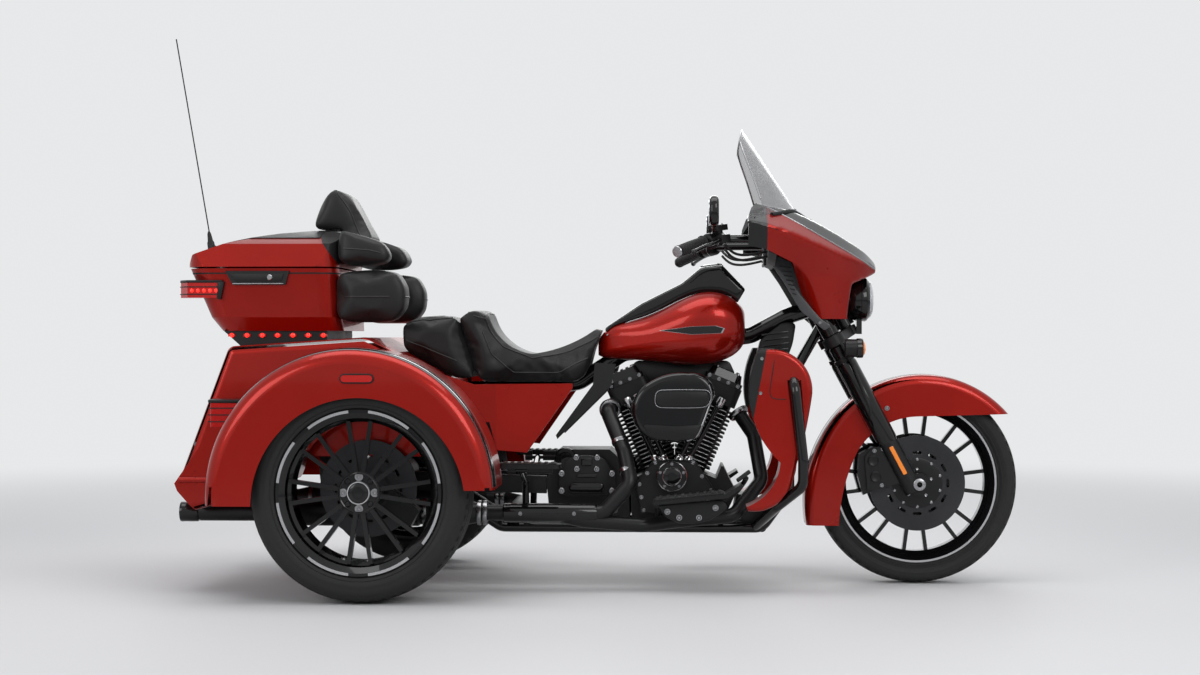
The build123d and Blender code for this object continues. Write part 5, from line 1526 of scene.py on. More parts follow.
@dataclass
class FairingTrim:
    """What is set on the fairing, the headlamp and the windshield."""

    lamp: Point = (0.868, 0, 0.9)
    glass_radius: float = 0.379

    def panels(self) -> None:
        """Makes the speaker panels that hang inside the fairing's wings."""
        outline = [(0.52, 1.052), (0.536, 1.05), (0.612, 1.012), (0.65, 0.9), (0.702, 0.838),
            (0.735, 0.815), (0.715, 0.8), (0.64, 0.862), (0.585, 0.955), (0.53, 1.035)]
        panel, mesh, bolts = Work(), Work(), Work()
        for side in SIDES:
            low, high = sorted((side * 0.148, side * 0.158))
            panel.plate(outline, low, high, 0.006, 0.003)
            for row in range(7):
                z = 0.915 + 0.014 * row
                reach = 0.006 + 0.002 * row
                middle = 0.625 - (z - 0.9) * 0.34
                low, high = sorted((side * 0.1575, side * 0.16))
                mesh.plate([(middle - reach, z), (middle + reach, z - 0.004), (middle + reach, z),
                    (middle - reach, z + 0.004)], low, high)
            for x, z in ((0.7, 0.825), (0.545, 1.038)):
                bolts.bolt((x, side * 0.158, z), (0, side, 0), 0.004, 0.004)
        panel.piece("speaker_panels", "grey_panel", Body.STEERING)
        mesh.piece("speaker_slats", "moulded_dark", Body.STEERING)
        bolts.piece("speaker_bolts", "machined_steel", Body.STEERING)

    def headlamp(self) -> None:
        """Makes the headlamp's ring, glass, bowl and projectors."""
        out = (1, 0, 0)
        place = (self.lamp[0] - 0.02, 0, self.lamp[2])
        Work().lathe([(0.0642, -0.012), (0.069, -0.01), (0.07, 0.004), (0.067, 0.01),
            (0.063, 0.012), (0.06, 0.016), (0.0585, 0.014), (0.062, 0.008), (0.0642, -0.006)],
            place, out, 72, closed=True).piece("headlamp_ring", "black_clearcoat", Body.STEERING)
        Work().lathe([(0.0595, 0.014), (0.056, 0.0215), (0.044, 0.0275), (0.025, 0.031),
            (0, 0.0322), (0, 0.03), (0.025, 0.029), (0.044, 0.0255), (0.0545, 0.02),
            (0.058, 0.014)], place, out, 72, closed=True).piece("headlamp_glass", "clear_lens",
            Body.STEERING)
        Work().lathe([(0.067, -0.01), (0.0668, -0.028), (0.061, -0.044), (0.044, -0.056),
            (0, -0.062)], place, out, 56).piece("headlamp_bowl", "black_clearcoat", Body.STEERING)
        bowls = Work()
        for z in (0.026, -0.026):
            bowls.lathe([(0, 0.0205), (0.01, 0.0215), (0.0185, 0.0245), (0.02, 0.0245),
                (0.0205, 0.019)], (place[0], 0, place[2] + z), out, 40)
        for y in (-0.032, 0.032):
            bowls.lathe([(0, 0.0205), (0.006, 0.021), (0.011, 0.0235), (0.0125, 0.0235),
                (0.013, 0.019)], (place[0], y, place[2]), out, 32)
        bowls.piece("headlamp_bowls", "lamp_reflector", Body.STEERING)
        lens = Work()
        for z in (0.026, -0.026):
            lens.lathe([(0.013, 0.0218), (0.011, 0.0262), (0.006, 0.0288), (0, 0.0296)],
                (place[0], 0, place[2] + z), out, 32)
        lens.piece("headlamp_lenses", "clear_lens", Body.STEERING)

    def turn_lamps(self) -> None:
        """Makes the amber lenses and dark bezels of the turn lamps."""
        lens, bezel = Work(), Work()
        for side in SIDES:
            place = (0.825, side * 0.205, 0.746)
            lens.lathe([(0.025, -0.001), (0.0245, 0.005), (0.019, 0.0095), (0.01, 0.012),
                (0, 0.0127)], place, (1, 0, 0), 40)
            bezel.lathe([(0.0283, -0.016), (0.0302, -0.014), (0.0302, 0.002), (0.0285, 0.0045),
                (0.0255, 0.0045), (0.025, 0)], place, (1, 0, 0), 48)
        lens.piece("turn_lenses", "amber_lens", Body.STEERING)
        bezel.piece("turn_bezels", "black_clearcoat", Body.STEERING)

    def glass_place(self, y: float, z: float) -> Point:
        """Finds a point on the windshield's glass."""
        x = 0.274 + sqrt(self.glass_radius ** 2 - y * y) - 0.55 / 0.83 * (z - 1.15)
        return (x, y, z)

    def windshield(self, skin: Surface) -> None:
        """Makes the edging of the glass, its foot trim, vent and bolts.

        Args:
            skin: The fairing's skin.
        """
        top = [(0.001 * y, 1.1146 + sqrt(0.3264 ** 2 - (0.001 * y) ** 2))
            for y in range(-180, 181, 30)]
        edge = [self.glass_place(-0.262, 1.205), self.glass_place(-0.232, 1.278),
            self.glass_place(-0.203, 1.35)]
        edge += [self.glass_place(y, z) for y, z in top]
        edge += [self.glass_place(0.203, 1.35), self.glass_place(0.232, 1.278),
            self.glass_place(0.262, 1.205)]
        Work().tube(edge, 0.003).piece("windshield_edge", "machined_steel", Body.STEERING)
        foot, vent, bolts = Work(), Work(), Work()
        line = []
        for y in range(-270, 271, 30):
            x, _, z = self.glass_place(0.001 * y, 1.16)
            place = skin.from_top(x + 0.012, 0.001 * y)
            line.append((place[0], place[1], place[2] + 0.001))
        foot.tube(line, 0.0075)
        foot.piece("windshield_foot", "moulded_dark", Body.STEERING)
        for step in range(3):
            slat = []
            for y in range(-105, 106, 15):
                place = skin.from_top(0.668 + 0.013 * step - 0.0011 * (y / 15) ** 2 * 0.4,
                    0.001 * y)
                slat.append((place[0], place[1], place[2] + 0.0005))
            vent.tube(slat, 0.0042)
        vent.piece("fairing_vent", "black_clearcoat", Body.STEERING)
        for y in (-0.16, 0, 0.16):
            x, _, z = self.glass_place(y, 1.16)
            place = skin.from_top(x + 0.01, y)
            bolts.bolt((place[0], place[1], place[2] + 0.007), (0.3, 0, 0.95), 0.0055, 0.005)
        bolts.piece("windshield_bolts", "machined_steel", Body.STEERING)

    def build(self) -> None:
        """Builds every piece."""
        skin = FairingShell().build()
        self.panels()
        self.headlamp()
        self.turn_lamps()
        self.windshield(skin)


@dataclass
class Dash:
    """The dials and the screen on the dash's rear face."""

    face: float = 0.535
    big: float = 0.046
    small: float = 0.026
    rings: Work = field(default_factory=Work)
    faces: Work = field(default_factory=Work)
    hands: Work = field(default_factory=Work)

    def dial(self, y: float, z: float, radius: float, marks: int, pointer: float) -> None:
        """Makes one dial.

        Args:
            y: The middle's Y.
            z: The middle's Z.
            radius: The dial's radius.
            marks: How many marks it has.
            pointer: The angle of its hand in degrees.
        """
        back = (-1, 0, 0)
        place = (self.face, y, z)
        self.rings.lathe([(radius * 1.12, 0), (radius * 1.12, 0.006), (radius * 1.06, 0.01),
            (radius * 0.99, 0.01), (radius * 0.97, 0.004)], place, back, 56)
        self.faces.lathe([(radius * 0.99, 0), (radius * 0.99, 0.0035), (0, 0.0035)], place, back,
            56)
        for number in range(marks):
            angle = radians(-225 + 270 * number / (marks - 1))
            inner = radius * (0.74 if number % 2 else 0.66)
            across = 0.0007 if number % 2 else 0.0012
            corners = []
            for reach, shift in ((inner, -across), (radius * 0.88, -across),
                    (radius * 0.88, across), (inner, across)):
                corners.append((self.face - 0.0033, y + reach * cos(angle) - shift * sin(angle),
                    z + reach * sin(angle) + shift * cos(angle)))
            self.hands.slab(corners, (-0.0006, 0, 0))
        turn = radians(pointer)
        tip = (y + radius * 0.72 * cos(turn), z + radius * 0.72 * sin(turn))
        wide = radius * 0.035
        self.hands.slab([(self.face - 0.0045, y - wide * sin(turn), z + wide * cos(turn)),
            (self.face - 0.0045, tip[0], tip[1]), (self.face - 0.0045, y + wide * sin(turn),
            z - wide * cos(turn))], (-0.0008, 0, 0))
        self.hands.lathe([(radius * 0.12, 0.0035), (radius * 0.12, 0.0062), (radius * 0.08, 0.0072),
            (0, 0.0072)], place, back, 24)

    def build(self) -> None:
        """Builds the dials and the screen."""
        self.dial(0.062, 1.12, self.big, 17, 200)
        self.dial(-0.062, 1.12, self.big, 17, 215)
        self.dial(0.158, 1.112, self.small, 9, 90)
        self.dial(-0.158, 1.112, self.small, 9, 60)
        self.rings.piece("dial_rings", "machined_aluminium", Body.STEERING)
        self.faces.piece("dial_faces", "moulded_dark", Body.STEERING)
        self.hands.piece("dial_marks", "pale_marks", Body.STEERING)
        frame_work, glass = Work(), Work()
        for work, grow, low, high in ((frame_work, 0.008, 0, 0.008), (glass, 0, 0.0075, 0.009)):
            work.slab([(self.face - low, -0.078 - grow, 1.014 - grow),
                (self.face - low, 0.078 + grow, 1.014 - grow),
                (self.face - low, 0.078 + grow, 1.06 + grow),
                (self.face - low, -0.078 - grow, 1.06 + grow)], (low - high, 0, 0), 0.006, 0.0015)
        frame_work.piece("screen_frame", "satin_black_coat", Body.STEERING)
        glass.piece("screen_glass", "black_clearcoat", Body.STEERING)


# Controls
@dataclass
class Controls:
    """The grips, switch housings, levers, reservoirs, cables and mirrors."""

    grip_in: Point = (0.338, 0.33, 1.071)
    grip_end: Point = (0.258, 0.448, 1.036)
    bar_bend: Point = (0.4, 0.272, 1.082)

    def frame_of(self, side: int) -> tuple[Vector, Vector, Vector, Vector]:
        """Finds the grip's start, its direction, forward of it and up from it."""
        start = Vector((self.grip_in[0], side * self.grip_in[1], self.grip_in[2]))
        end = Vector((self.grip_end[0], side * self.grip_end[1], self.grip_end[2]))
        along = (end - start).normalized()
        forward = along.cross(Vector((0, 0, 1))) * -side
        forward.normalize()
        if forward.x < 0:
            forward.negate()
        above = forward.cross(along)
        if above.z < 0:
            above.negate()
        return start, along, forward, above

    def grips(self) -> None:
        """Makes the ribbed grips with their end weights."""
        grip, weight = Work(), Work()
        start, end = Vector(self.grip_in), Vector(self.grip_end)
        reach = (end - start).length
        for side in SIDES:
            first, along, _, _ = self.frame_of(side)
            profile = [(0.0131, 0.0085), (0.02, 0.0085), (0.021, 0.0105), (0.02, 0.013)]
            bands = 9
            for number in range(bands):
                low = 0.016 + (reach - 0.026) / bands * number
                wide = (reach - 0.026) / bands
                swell = 0.0168 + 0.001 * sin(pi * (number + 0.5) / bands)
                profile += [(swell - 0.0012, low), (swell + 0.0004, low + 0.0018),
                    (swell + 0.0004, low + wide - 0.0022), (swell - 0.0012, low + wide - 0.0004)]
            profile += [(0.018, reach - 0.006), (0.018, reach - 0.002), (0.0131, reach - 0.002)]
            grip.lathe(profile, first, along, 36, closed=True)
            weight.lathe([(0.0131, reach - 0.001), (0.017, reach), (0.0176, reach + 0.003),
                (0.016, reach + 0.0055), (0, reach + 0.006)], first, along, 36)
        thing = grip.piece("grip_sleeves", "grip_moulding", Body.STEERING)
        weight.piece("grip_weights", "machined_steel", Body.STEERING)
        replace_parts(thing, "grips")

    def housings(self) -> None:
        """Makes the switch housings, levers, reservoirs, buttons and screws."""
        case, lever, metal, button = Work(), Work(), Work(), Work()
        for side in SIDES:
            first, along, forward, above = self.frame_of(side)
            inner = Vector((self.bar_bend[0], side * self.bar_bend[1], self.bar_bend[2]))
            middle = inner.lerp(first, 0.56)
            run = (first - inner).normalized()
            case.lathe([(0.0135, -0.026), (0.0215, -0.024), (0.0235, -0.018), (0.024, 0.018),
                (0.0225, 0.026), (0.0135, 0.03)], middle, run, 32)
            metal.lathe([(0.0243, -0.0012), (0.0247, 0), (0.0243, 0.0012)], middle, run, 32)
            for shift in (-0.012, 0.004):
                place = middle + run * shift - forward * 0.023 + above * 0.006
                button.lathe([(0.0052, -0.002), (0.0052, 0.0035), (0.004, 0.0048), (0, 0.005)],
                    place, -forward, 18)
            pivot = middle + forward * 0.036 + above * 0.004
            case.slab([pivot + run * a + forward * b - above * 0.011 for a, b in ((-0.02, 0.014),
                (0.018, 0.014), (0.018, -0.02), (-0.02, -0.02))], above * 0.024, 0.005, 0.0025)
            metal.bolt(pivot + above * 0.013, above, 0.0062, 0.005)
            tip = first + along * 0.15
            lever.tube([pivot + run * 0.012 + forward * 0.004, first + forward * 0.048,
                first + along * 0.035 + forward * 0.054, first + along * 0.09 + forward * 0.05,
                tip + forward * 0.06 - above * 0.002], 0.0062)
            lever.ball(tip + forward * 0.06 - above * 0.002, 0.0088)
            tank = middle + forward * 0.02 + above * 0.03 - run * 0.004
            case.slab([tank + run * a + forward * b for a, b in ((-0.026, -0.018), (0.026, -0.018),
                (0.026, 0.018), (-0.026, 0.018))], above * 0.018, 0.008, 0.0025)
            case.lathe([(0.013, -0.02), (0.013, 0.002), (0, 0.002)], tank, above, 24)
            for shift in (-0.019, 0.019):
                metal.bolt(tank + run * shift + above * 0.018, above, 0.0036, 0.003)
        case.piece("switch_housings", "satin_black_coat", Body.STEERING)
        lever.piece("hand_levers", "black_clearcoat", Body.STEERING)
        metal.piece("control_screws", "machined_steel", Body.STEERING)
        button.piece("switch_buttons", "grey_panel", Body.STEERING)

    def cables(self) -> None:
        """Makes the cables that run from the housings into the dash."""
        work = Work()
        for side in SIDES:
            for number in range(2):
                drop = 0.016 * number
                work.tube([(0.402, side * 0.258, 1.066 - drop), (0.418, side * 0.236, 1.046 - drop),
                    (0.446, side * 0.212, 1.034 - drop), (0.49, side * 0.196, 1.036 - drop),
                    (0.537, side * 0.188, 1.048 - drop)], 0.0042)
        work.piece("control_cables", "grip_moulding", Body.STEERING)
        riser, bolts = Work(), Work()
        for side in SIDES:
            place = Vector((0.676, side * 0.042, 1.022))
            riser.lathe([(0.013, -0.014), (0.0225, -0.013), (0.0235, -0.01), (0.0235, 0.01),
                (0.0225, 0.013), (0.013, 0.014)], place, (0, 1, 0), 32)
            for shift in (-0.014, 0.014):
                bolts.bolt((place.x + shift, place.y, place.z + 0.0195), (0, 0, 1), 0.0045, 0.006)
        riser.piece("bar_clamps", "satin_black_coat", Body.STEERING)
        bolts.piece("bar_clamp_bolts", "machined_steel", Body.STEERING)

    def mirrors(self) -> None:
        """Makes the mirrors' shells, glasses and stalk nuts."""
        glass, nut, shell = Work(), Work(), Work()
        for side in SIDES:
            low, high = sorted((side * 0.366, side * 0.514))
            shell.slab([(0.3525, low, 1.111), (0.3525, high, 1.111), (0.3525, high, 1.201),
                (0.3525, low, 1.201)], (0.028, 0, 0), 0.036, 0.011, 4)
            shell.tube([(0.364, side * 0.44, 1.128), (0.366, side * 0.372, 1.104),
                (0.372, side * 0.3, 1.082)], 0.0065)
            low, high = sorted((side * 0.372, side * 0.508))
            glass.slab([(0.3518, low, 1.117), (0.3518, high, 1.117), (0.3518, high, 1.195),
                (0.3518, low, 1.195)], (-0.0016, 0, 0), 0.031, 0.0006)
            nut.lathe([(0.0065, -0.006), (0.01, -0.004), (0.01, 0.006), (0.0065, 0.009)],
                (0.3705, side * 0.318, 1.086), (-0.1, side * 0.85, 0.28), 6)
        glass.piece("mirror_glasses", "mirror_glass", Body.STEERING)
        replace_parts(shell.piece("mirror_shells", "black_clearcoat", Body.STEERING), "mirrors")
        nut.piece("mirror_nuts", "machined_steel", Body.STEERING)

    def build(self) -> None:
        """Builds every piece."""
        self.grips()
        self.housings()
        self.cables()
        self.mirrors()


# Engine
@dataclass
class EngineTrim:
    """Covers, bolts, push rod tubes and the intake of the engine and the gearbox."""

    crank: Flat = (0.245, 0.265)
    lean: float = radians(22.5)
    rocker_top: float = 0.442
    chest: Sequence[Flat] = ((0.14, 0.23), (0.24, 0.2275), (0.34, 0.225), (0.356, 0.262),
        (0.372, 0.3), (0.341, 0.348), (0.31, 0.395), (0.18, 0.395), (0.152, 0.358), (0.125, 0.32),
        (0.132, 0.275))
    chest_face: float = 0.147
    cam: Flat = (0.238, 0.345)

    def on_cylinder(self, way: int, height: float, across: float, y: float) -> Point:
        """Finds a point given up a cylinder, across it and to the left."""
        tilt = way * self.lean
        return (self.crank[0] + height * sin(tilt) + across * cos(tilt), y,
            self.crank[1] + height * cos(tilt) - across * sin(tilt))

    def tops(self) -> None:
        """Makes the rocker covers' ribs and bolts."""
        bolts, ribs = Work(), Work()
        for way in SIDES:
            tilt = way * self.lean
            up = (sin(tilt), 0, cos(tilt))
            for across in (-0.036, 0.036):
                for y in (-0.052, 0, 0.052):
                    bolts.bolt(self.on_cylinder(way, self.rocker_top, across, y), up, 0.0056, 0.006)
            for across in (-0.018, 0, 0.018):
                corners = [self.on_cylinder(way, self.rocker_top - 0.001, across - 0.0035, -0.056),
                    self.on_cylinder(way, self.rocker_top - 0.001, across + 0.0035, -0.056),
                    self.on_cylinder(way, self.rocker_top + 0.004, across + 0.0035, -0.052),
                    self.on_cylinder(way, self.rocker_top + 0.004, across - 0.0035, -0.052)]
                ribs.slab(corners, (0, 0.108, 0), 0, 0.001)
            for across in (-0.048, -0.016, 0.016, 0.048):
                for side in SIDES:
                    bolts.bolt(self.on_cylinder(way, 0.408, across, side * 0.079), (0, side, 0),
                        0.0048, 0.005)
        ribs.piece("rocker_ribs", "wrinkle_black")
        bolts.piece("rocker_bolts", "machined_steel")

    def fins(self) -> None:
        """Makes the machined edges of the cylinders' fins on both sides."""
        work = Work()
        for way in SIDES:
            for number in range(15):
                height = 0.128 + 0.0135 * number + 0.0025
                for side in SIDES:
                    inner = -way * 0.034 if height < 0.3 else -way * 0.046
                    work.tube([self.on_cylinder(way, height, inner, side * 0.0762),
                        self.on_cylinder(way, height, way * 0.046, side * 0.0762)], 0.0009)
        work.piece("fin_edges", "machined_aluminium")

    def push_rods(self) -> None:
        """Makes the push rod tubes with their collars."""
        tubes, collars = Work(), Work()
        for way in SIDES:
            for foot, head in ((0.02, 0.01), (0.048, 0.046)):
                low = Vector((self.cam[0] + way * foot, -0.124, 0.388))
                high = Vector(self.on_cylinder(way, 0.345, way * head - way * 0.03, -0.094))
                run = (high - low).normalized()
                tubes.tube([low, high], 0.0088)
                for place, turn in ((low, run), (high, -run)):
                    collars.lathe([(0.0145, -0.01), (0.015, 0.01), (0.013, 0.014), (0.011, 0.02),
                        (0.0085, 0.022)], place, turn, 24)
        tubes.piece("push_rod_tubes", "black_clearcoat")
        collars.piece("push_rod_collars", "machined_aluminium")

    def cam_cover(self) -> None:
        """Makes the cam chest's rim bolts and the round cover's rings."""
        out = (0, -1, 0)
        bolts = Work()
        for x, z in ring_of(self.chest, 0.91, (0.243, 0.305)):
            bolts.bolt((x, -self.chest_face, z), out, 0.0052, 0.006)
        for number in range(5):
            place = around((self.cam[0], 0, self.cam[1]), 0.0385, 72 * number + 18, -0.1712)
            bolts.bolt(place, out, 0.0038, 0.004)
        bolts.piece("cam_bolts", "machined_steel")
        middle = (self.cam[0], -0.171, self.cam[1])
        Work().lathe([(0.0462, -0.004), (0.0475, -0.002), (0.0475, 0.0015), (0.045, 0.003),
            (0.044, 0.001), (0.044, -0.002)], middle, out, 72).lathe([(0.03, 0), (0.03, 0.0028),
            (0.0285, 0.004), (0.027, 0.0028), (0.027, 0)], middle, out, 64).piece("cam_rings",
            "machined_aluminium")
        Work().lathe([(0.0265, 0), (0.0265, 0.0022), (0.0235, 0.0036), (0.012, 0.004),
            (0.0115, 0.003), (0, 0.003)], middle, out, 64).piece("cam_disc", "black_clearcoat")
        Work().tube([(x, -self.chest_face, z) for x, z in ring_of(self.chest, 0.985,
            (0.243, 0.305))], 0.0026, smooth=True, closed=True).piece("cam_chest_rim",
            "satin_black_coat")

    def air_cleaner(self) -> None:
        """Makes the air cleaner's inset panel, bright rim and bolt."""
        bar = [(0.19, 0.567), (0.344, 0.567), (0.356, 0.614), (0.19, 0.614)]
        Work().plate(bar, -0.2826, -0.2795, 0.0225, 0.0012).piece("intake_panel",
            "satin_black_coat")
        rim = [(0.186, 0.59), (0.19, 0.566), (0.215, 0.5625), (0.33, 0.5625), (0.352, 0.57),
            (0.361, 0.596), (0.352, 0.6165), (0.33, 0.6185), (0.215, 0.6185), (0.192, 0.614)]
        Work().tube([(x, -0.2806, z) for x, z in rim], 0.0013,
            closed=True).piece("intake_panel_rim", "machined_steel")
        lip = [(0.16, 0.478), (0.2, 0.4655), (0.252, 0.462), (0.3105, 0.4675), (0.331, 0.512),
            (0.25, 0.506), (0.152, 0.512)]
        Work().plate(lip, -0.2838, -0.2785, 0.009, 0.0022).piece("intake_lip", "satin_black_coat")
        edge = [(0.352, -0.2765, 0.634), (0.366, -0.275, 0.606), (0.348, -0.275, 0.55),
            (0.325, -0.275, 0.492), (0.312, -0.275, 0.4685), (0.285, -0.2745, 0.4615)]
        Work().tube(edge, 0.0034).piece("intake_bright_line", "machined_steel")

    def gearbox(self) -> None:
        """Makes the gearbox's cover plate, bearing caps and bolts."""
        out = (0, -1, 0)
        bolts, caps, ribs = Work(), Work(), Work()
        arch = [(-0.118, 0.286), (-0.118, 0.345), (-0.092, 0.398), (-0.03, 0.412), (0.03, 0.398),
            (0.06, 0.345), (0.06, 0.286)]
        ribs.plate(arch, -0.158, -0.149, 0.016, 0.003)
        for x, z in ((-0.062, 0.402), (0.004, 0.402), (-0.108, 0.352), (-0.108, 0.298),
                (0.05, 0.352), (0.05, 0.298), (-0.06, 0.366), (0.002, 0.366)):
            bolts.lathe([(0.0098, 0), (0.0098, 0.002), (0.008, 0.004), (0.007, 0.004)],
                (x, -0.158, z), out, 20)
            bolts.bolt((x, -0.16, z), out, 0.0062, 0.007)
        caps.plate([(-0.084, 0.292), (0.026, 0.292), (0.026, 0.324), (-0.084, 0.324)], -0.17,
            -0.157, 0.0155, 0.005)
        caps.plate([(-0.06, 0.34), (0.002, 0.34), (0.002, 0.352), (-0.06, 0.352)], -0.164, -0.157,
            0.004, 0.002)
        caps.plate([(-0.046, 0.378), (-0.012, 0.378), (-0.012, 0.402), (-0.046, 0.402)], -0.168,
            -0.157, 0.004, 0.003)
        caps.lathe([(0.034, 0), (0.034, 0.012), (0.03, 0.016), (0.02, 0.016), (0.018, 0.012),
            (0, 0.012)], (-0.098, -0.105, 0.398), out, 44)
        for x, z in ((-0.136, 0.24), (-0.09, 0.236), (0.06, 0.232), (0.086, 0.364)):
            bolts.bolt((x, -0.105, z), out, 0.0062, 0.006)
        bolts.piece("gearbox_bolts", "machined_steel")
        caps.piece("gearbox_caps", "black_clearcoat")
        ribs.piece("gearbox_cover_plate", "wrinkle_black")

    def primary(self) -> None:
        """Makes the primary cover's derby cap and rim bolts on the left side."""
        out = (0, 1, 0)
        bolts = Work()
        for number in range(12):
            angle = 360 / 12 * number
            reach = Vector((cos(radians(angle)) * 0.082, 0, sin(radians(angle)) * 0.082))
            shift = 0.125 if cos(radians(angle)) > 0 else -0.125
            place = (0.115 + shift + reach.x, 0.1765, 0.303 + reach.z)
            bolts.bolt(place, out, 0.005, 0.005)
        bolts.piece("primary_bolts", "machined_steel")
        Work().lathe([(0.06, 0), (0.06, 0.004), (0.056, 0.007), (0.05, 0.007), (0.048, 0.005),
            (0, 0.006)], (0, 0.177, 0.303), out, 64).piece("clutch_cap", "black_clearcoat")
        Work().lathe([(0.042, 0), (0.042, 0.004), (0.038, 0.006), (0.03, 0.006), (0.028, 0.004),
            (0, 0.005)], (0.246, 0.177, 0.303), out, 56).piece("primary_cap", "satin_black_coat")

    def build(self) -> None:
        """Builds every piece."""
        self.tops()
        self.fins()
        self.push_rods()
        self.cam_cover()
        self.air_cleaner()
        self.gearbox()
        self.primary()


@dataclass
class ExhaustTrim:
    """Clamps, heat shields and tips on the exhaust."""

    side_place: float = 0.292
    height: float = 0.24
    radius: float = 0.037

    def build(self) -> None:
        """Builds every piece."""
        forward = (1, 0, 0)
        bands, shields, tips, bolts = Work(), Work(), Work(), Work()
        for side in SIDES:
            y = side * self.side_place
            for x in (-0.352, -0.334):
                bands.lathe([(self.radius - 0.004, -0.006), (self.radius + 0.001, -0.006),
                    (self.radius + 0.002, 0), (self.radius + 0.001, 0.006),
                    (self.radius - 0.004, 0.006)], (x, y, self.height), forward, 40)
            tips.lathe([(0.0254, 0), (0.03, 0.001), (0.0312, 0.006), (0.0305, 0.012),
                (0.0305, 0.054), (0.028, 0.058), (0.0254, 0.058)], (-1.281, y, self.height),
                forward, 48)
            tips.lathe([(0.0254, 0), (0.021, 0), (0.0208, 0.06), (0.0213, 0.06)],
                (-1.281, y, self.height), forward, 48)
            for x in (-0.52, -0.98):
                bands.lathe([(self.radius + 0.003, -0.007), (self.radius + 0.0062, -0.006),
                    (self.radius + 0.007, 0), (self.radius + 0.0062, 0.006),
                    (self.radius + 0.003, 0.007)], (x, y, self.height), forward, 40)
        wall = [(0.0245, -0.29), (0.029, -0.286), (0.03, -0.2), (0.029, -0.01), (0.0245, 0)]
        shields.lathe(wall, (0.01, -self.side_place, self.height), forward, 24, turn=radians(220),
            start=radians(-200))
        for x, z in ((-0.06, 0), (-0.225, 0)):
            bolts.bolt((x, -self.side_place - 0.0295, self.height + z), (0, -1, 0), 0.0048, 0.005)
        low, high = Vector((0.102, -0.262, 0.368)), Vector((0.078, -0.218, 0.456))
        run = (high - low).normalized()
        for share in (0, 1):
            place = low.lerp(high, share)
            bands.lathe([(0.0235, -0.006), (0.0265, -0.006), (0.0272, 0), (0.0265, 0.006),
                (0.0235, 0.006)], place, run, 36)
        for place, turn in (((0.4465, -0.0395, 0.541), (0.52, -0.32, -0.76)),
                ((0.042, -0.122, 0.553), (0.15, -0.86, -0.2))):
            bands.lathe([(0.0255, -0.004), (0.033, -0.003), (0.034, 0.006), (0.031, 0.012),
                (0.0255, 0.013)], place, turn, 40)
        bands.piece("exhaust_bands", "machined_steel")
        shields.piece("heat_shield", "black_clearcoat")
        tips.piece("exhaust_tips", "black_clearcoat")
        bolts.piece("heat_shield_bolts", "machined_steel")


# Boards, tank and guards
@dataclass
class BoardTrim:
    """Rubber treads, brackets and the brake pedal."""

    def build(self) -> None:
        """Builds every piece."""
        tread, plates, bolts, pedal = Work(), Work(), Work(), Work()
        tread.plate([(0.19, 0.2845), (0.396, 0.3055), (0.396, 0.3105), (0.19, 0.2895)], -0.386,
            -0.274, 0, 0.0015)
        for number in range(9):
            x = 0.2 + 0.0225 * number
            z = 0.2895 + (x - 0.19) * 0.102
            tread.plate([(x, z - 0.001), (x + 0.01, z), (x + 0.009, z + 0.0042),
                (x + 0.001, z + 0.0032)], -0.38, -0.28, 0, 0.0008)
        tread.both_sides().piece("board_treads", "grip_moulding")
        plates.plate([(0.196, 0.268), (0.392, 0.286), (0.412, 0.262), (0.36, 0.226), (0.316, 0.214),
            (0.262, 0.214), (0.222, 0.232)], -0.352, -0.34, 0.012, 0.002)
        for x, z in ((0.226, 0.25), (0.262, 0.232), (0.322, 0.232), (0.372, 0.262)):
            bolts.bolt((x, -0.352, z), (0, -1, 0), 0.0075, 0.008)
        plates.both_sides().piece("board_brackets", "satin_black_coat")
        bolts.both_sides().piece("board_bolts", "machined_steel")
        pedal.tube([(0.3, -0.22, 0.262), (0.372, -0.222, 0.264), (0.43, -0.24, 0.29),
            (0.462, -0.292, 0.338), (0.466, -0.318, 0.35)], 0.0075)
        pedal.lathe([(0.017, -0.01), (0.017, 0.01), (0, 0.011)], (0.3, -0.222, 0.262), (0, -1, 0),
            28)
        pedal.piece("brake_pedal", "satin_black_coat")
        Work().slab([(0.44, -0.35, 0.338), (0.48, -0.35, 0.368), (0.48, -0.292, 0.368),
            (0.44, -0.292, 0.338)], (-0.0055, 0, 0.0075), 0.008, 0.002).piece("brake_pedal_pad",
            "grip_moulding")
        for side, word, body in ((-1, "right", Body.BOARD_RIGHT), (1, "left", Body.BOARD_LEFT)):
            mat = Work()
            low, high = sorted((side * 0.346, side * 0.41))
            mat.slab([(-0.28, low, 0.396), (-0.108, low, 0.396), (-0.108, high, 0.396),
                (-0.28, high, 0.396)], (0, 0, 0.003), 0.012, 0.001)
            for number in range(8):
                x = -0.27 + 0.0205 * number
                mat.slab([(x, low + 0.006, 0.3985), (x + 0.01, low + 0.006, 0.3985),
                    (x + 0.01, high - 0.006, 0.3985), (x, high - 0.006, 0.3985)], (0, 0, 0.0032),
                    0.002, 0.0008)
            mat.piece(f"passenger_tread_{word}", "grip_moulding", body)


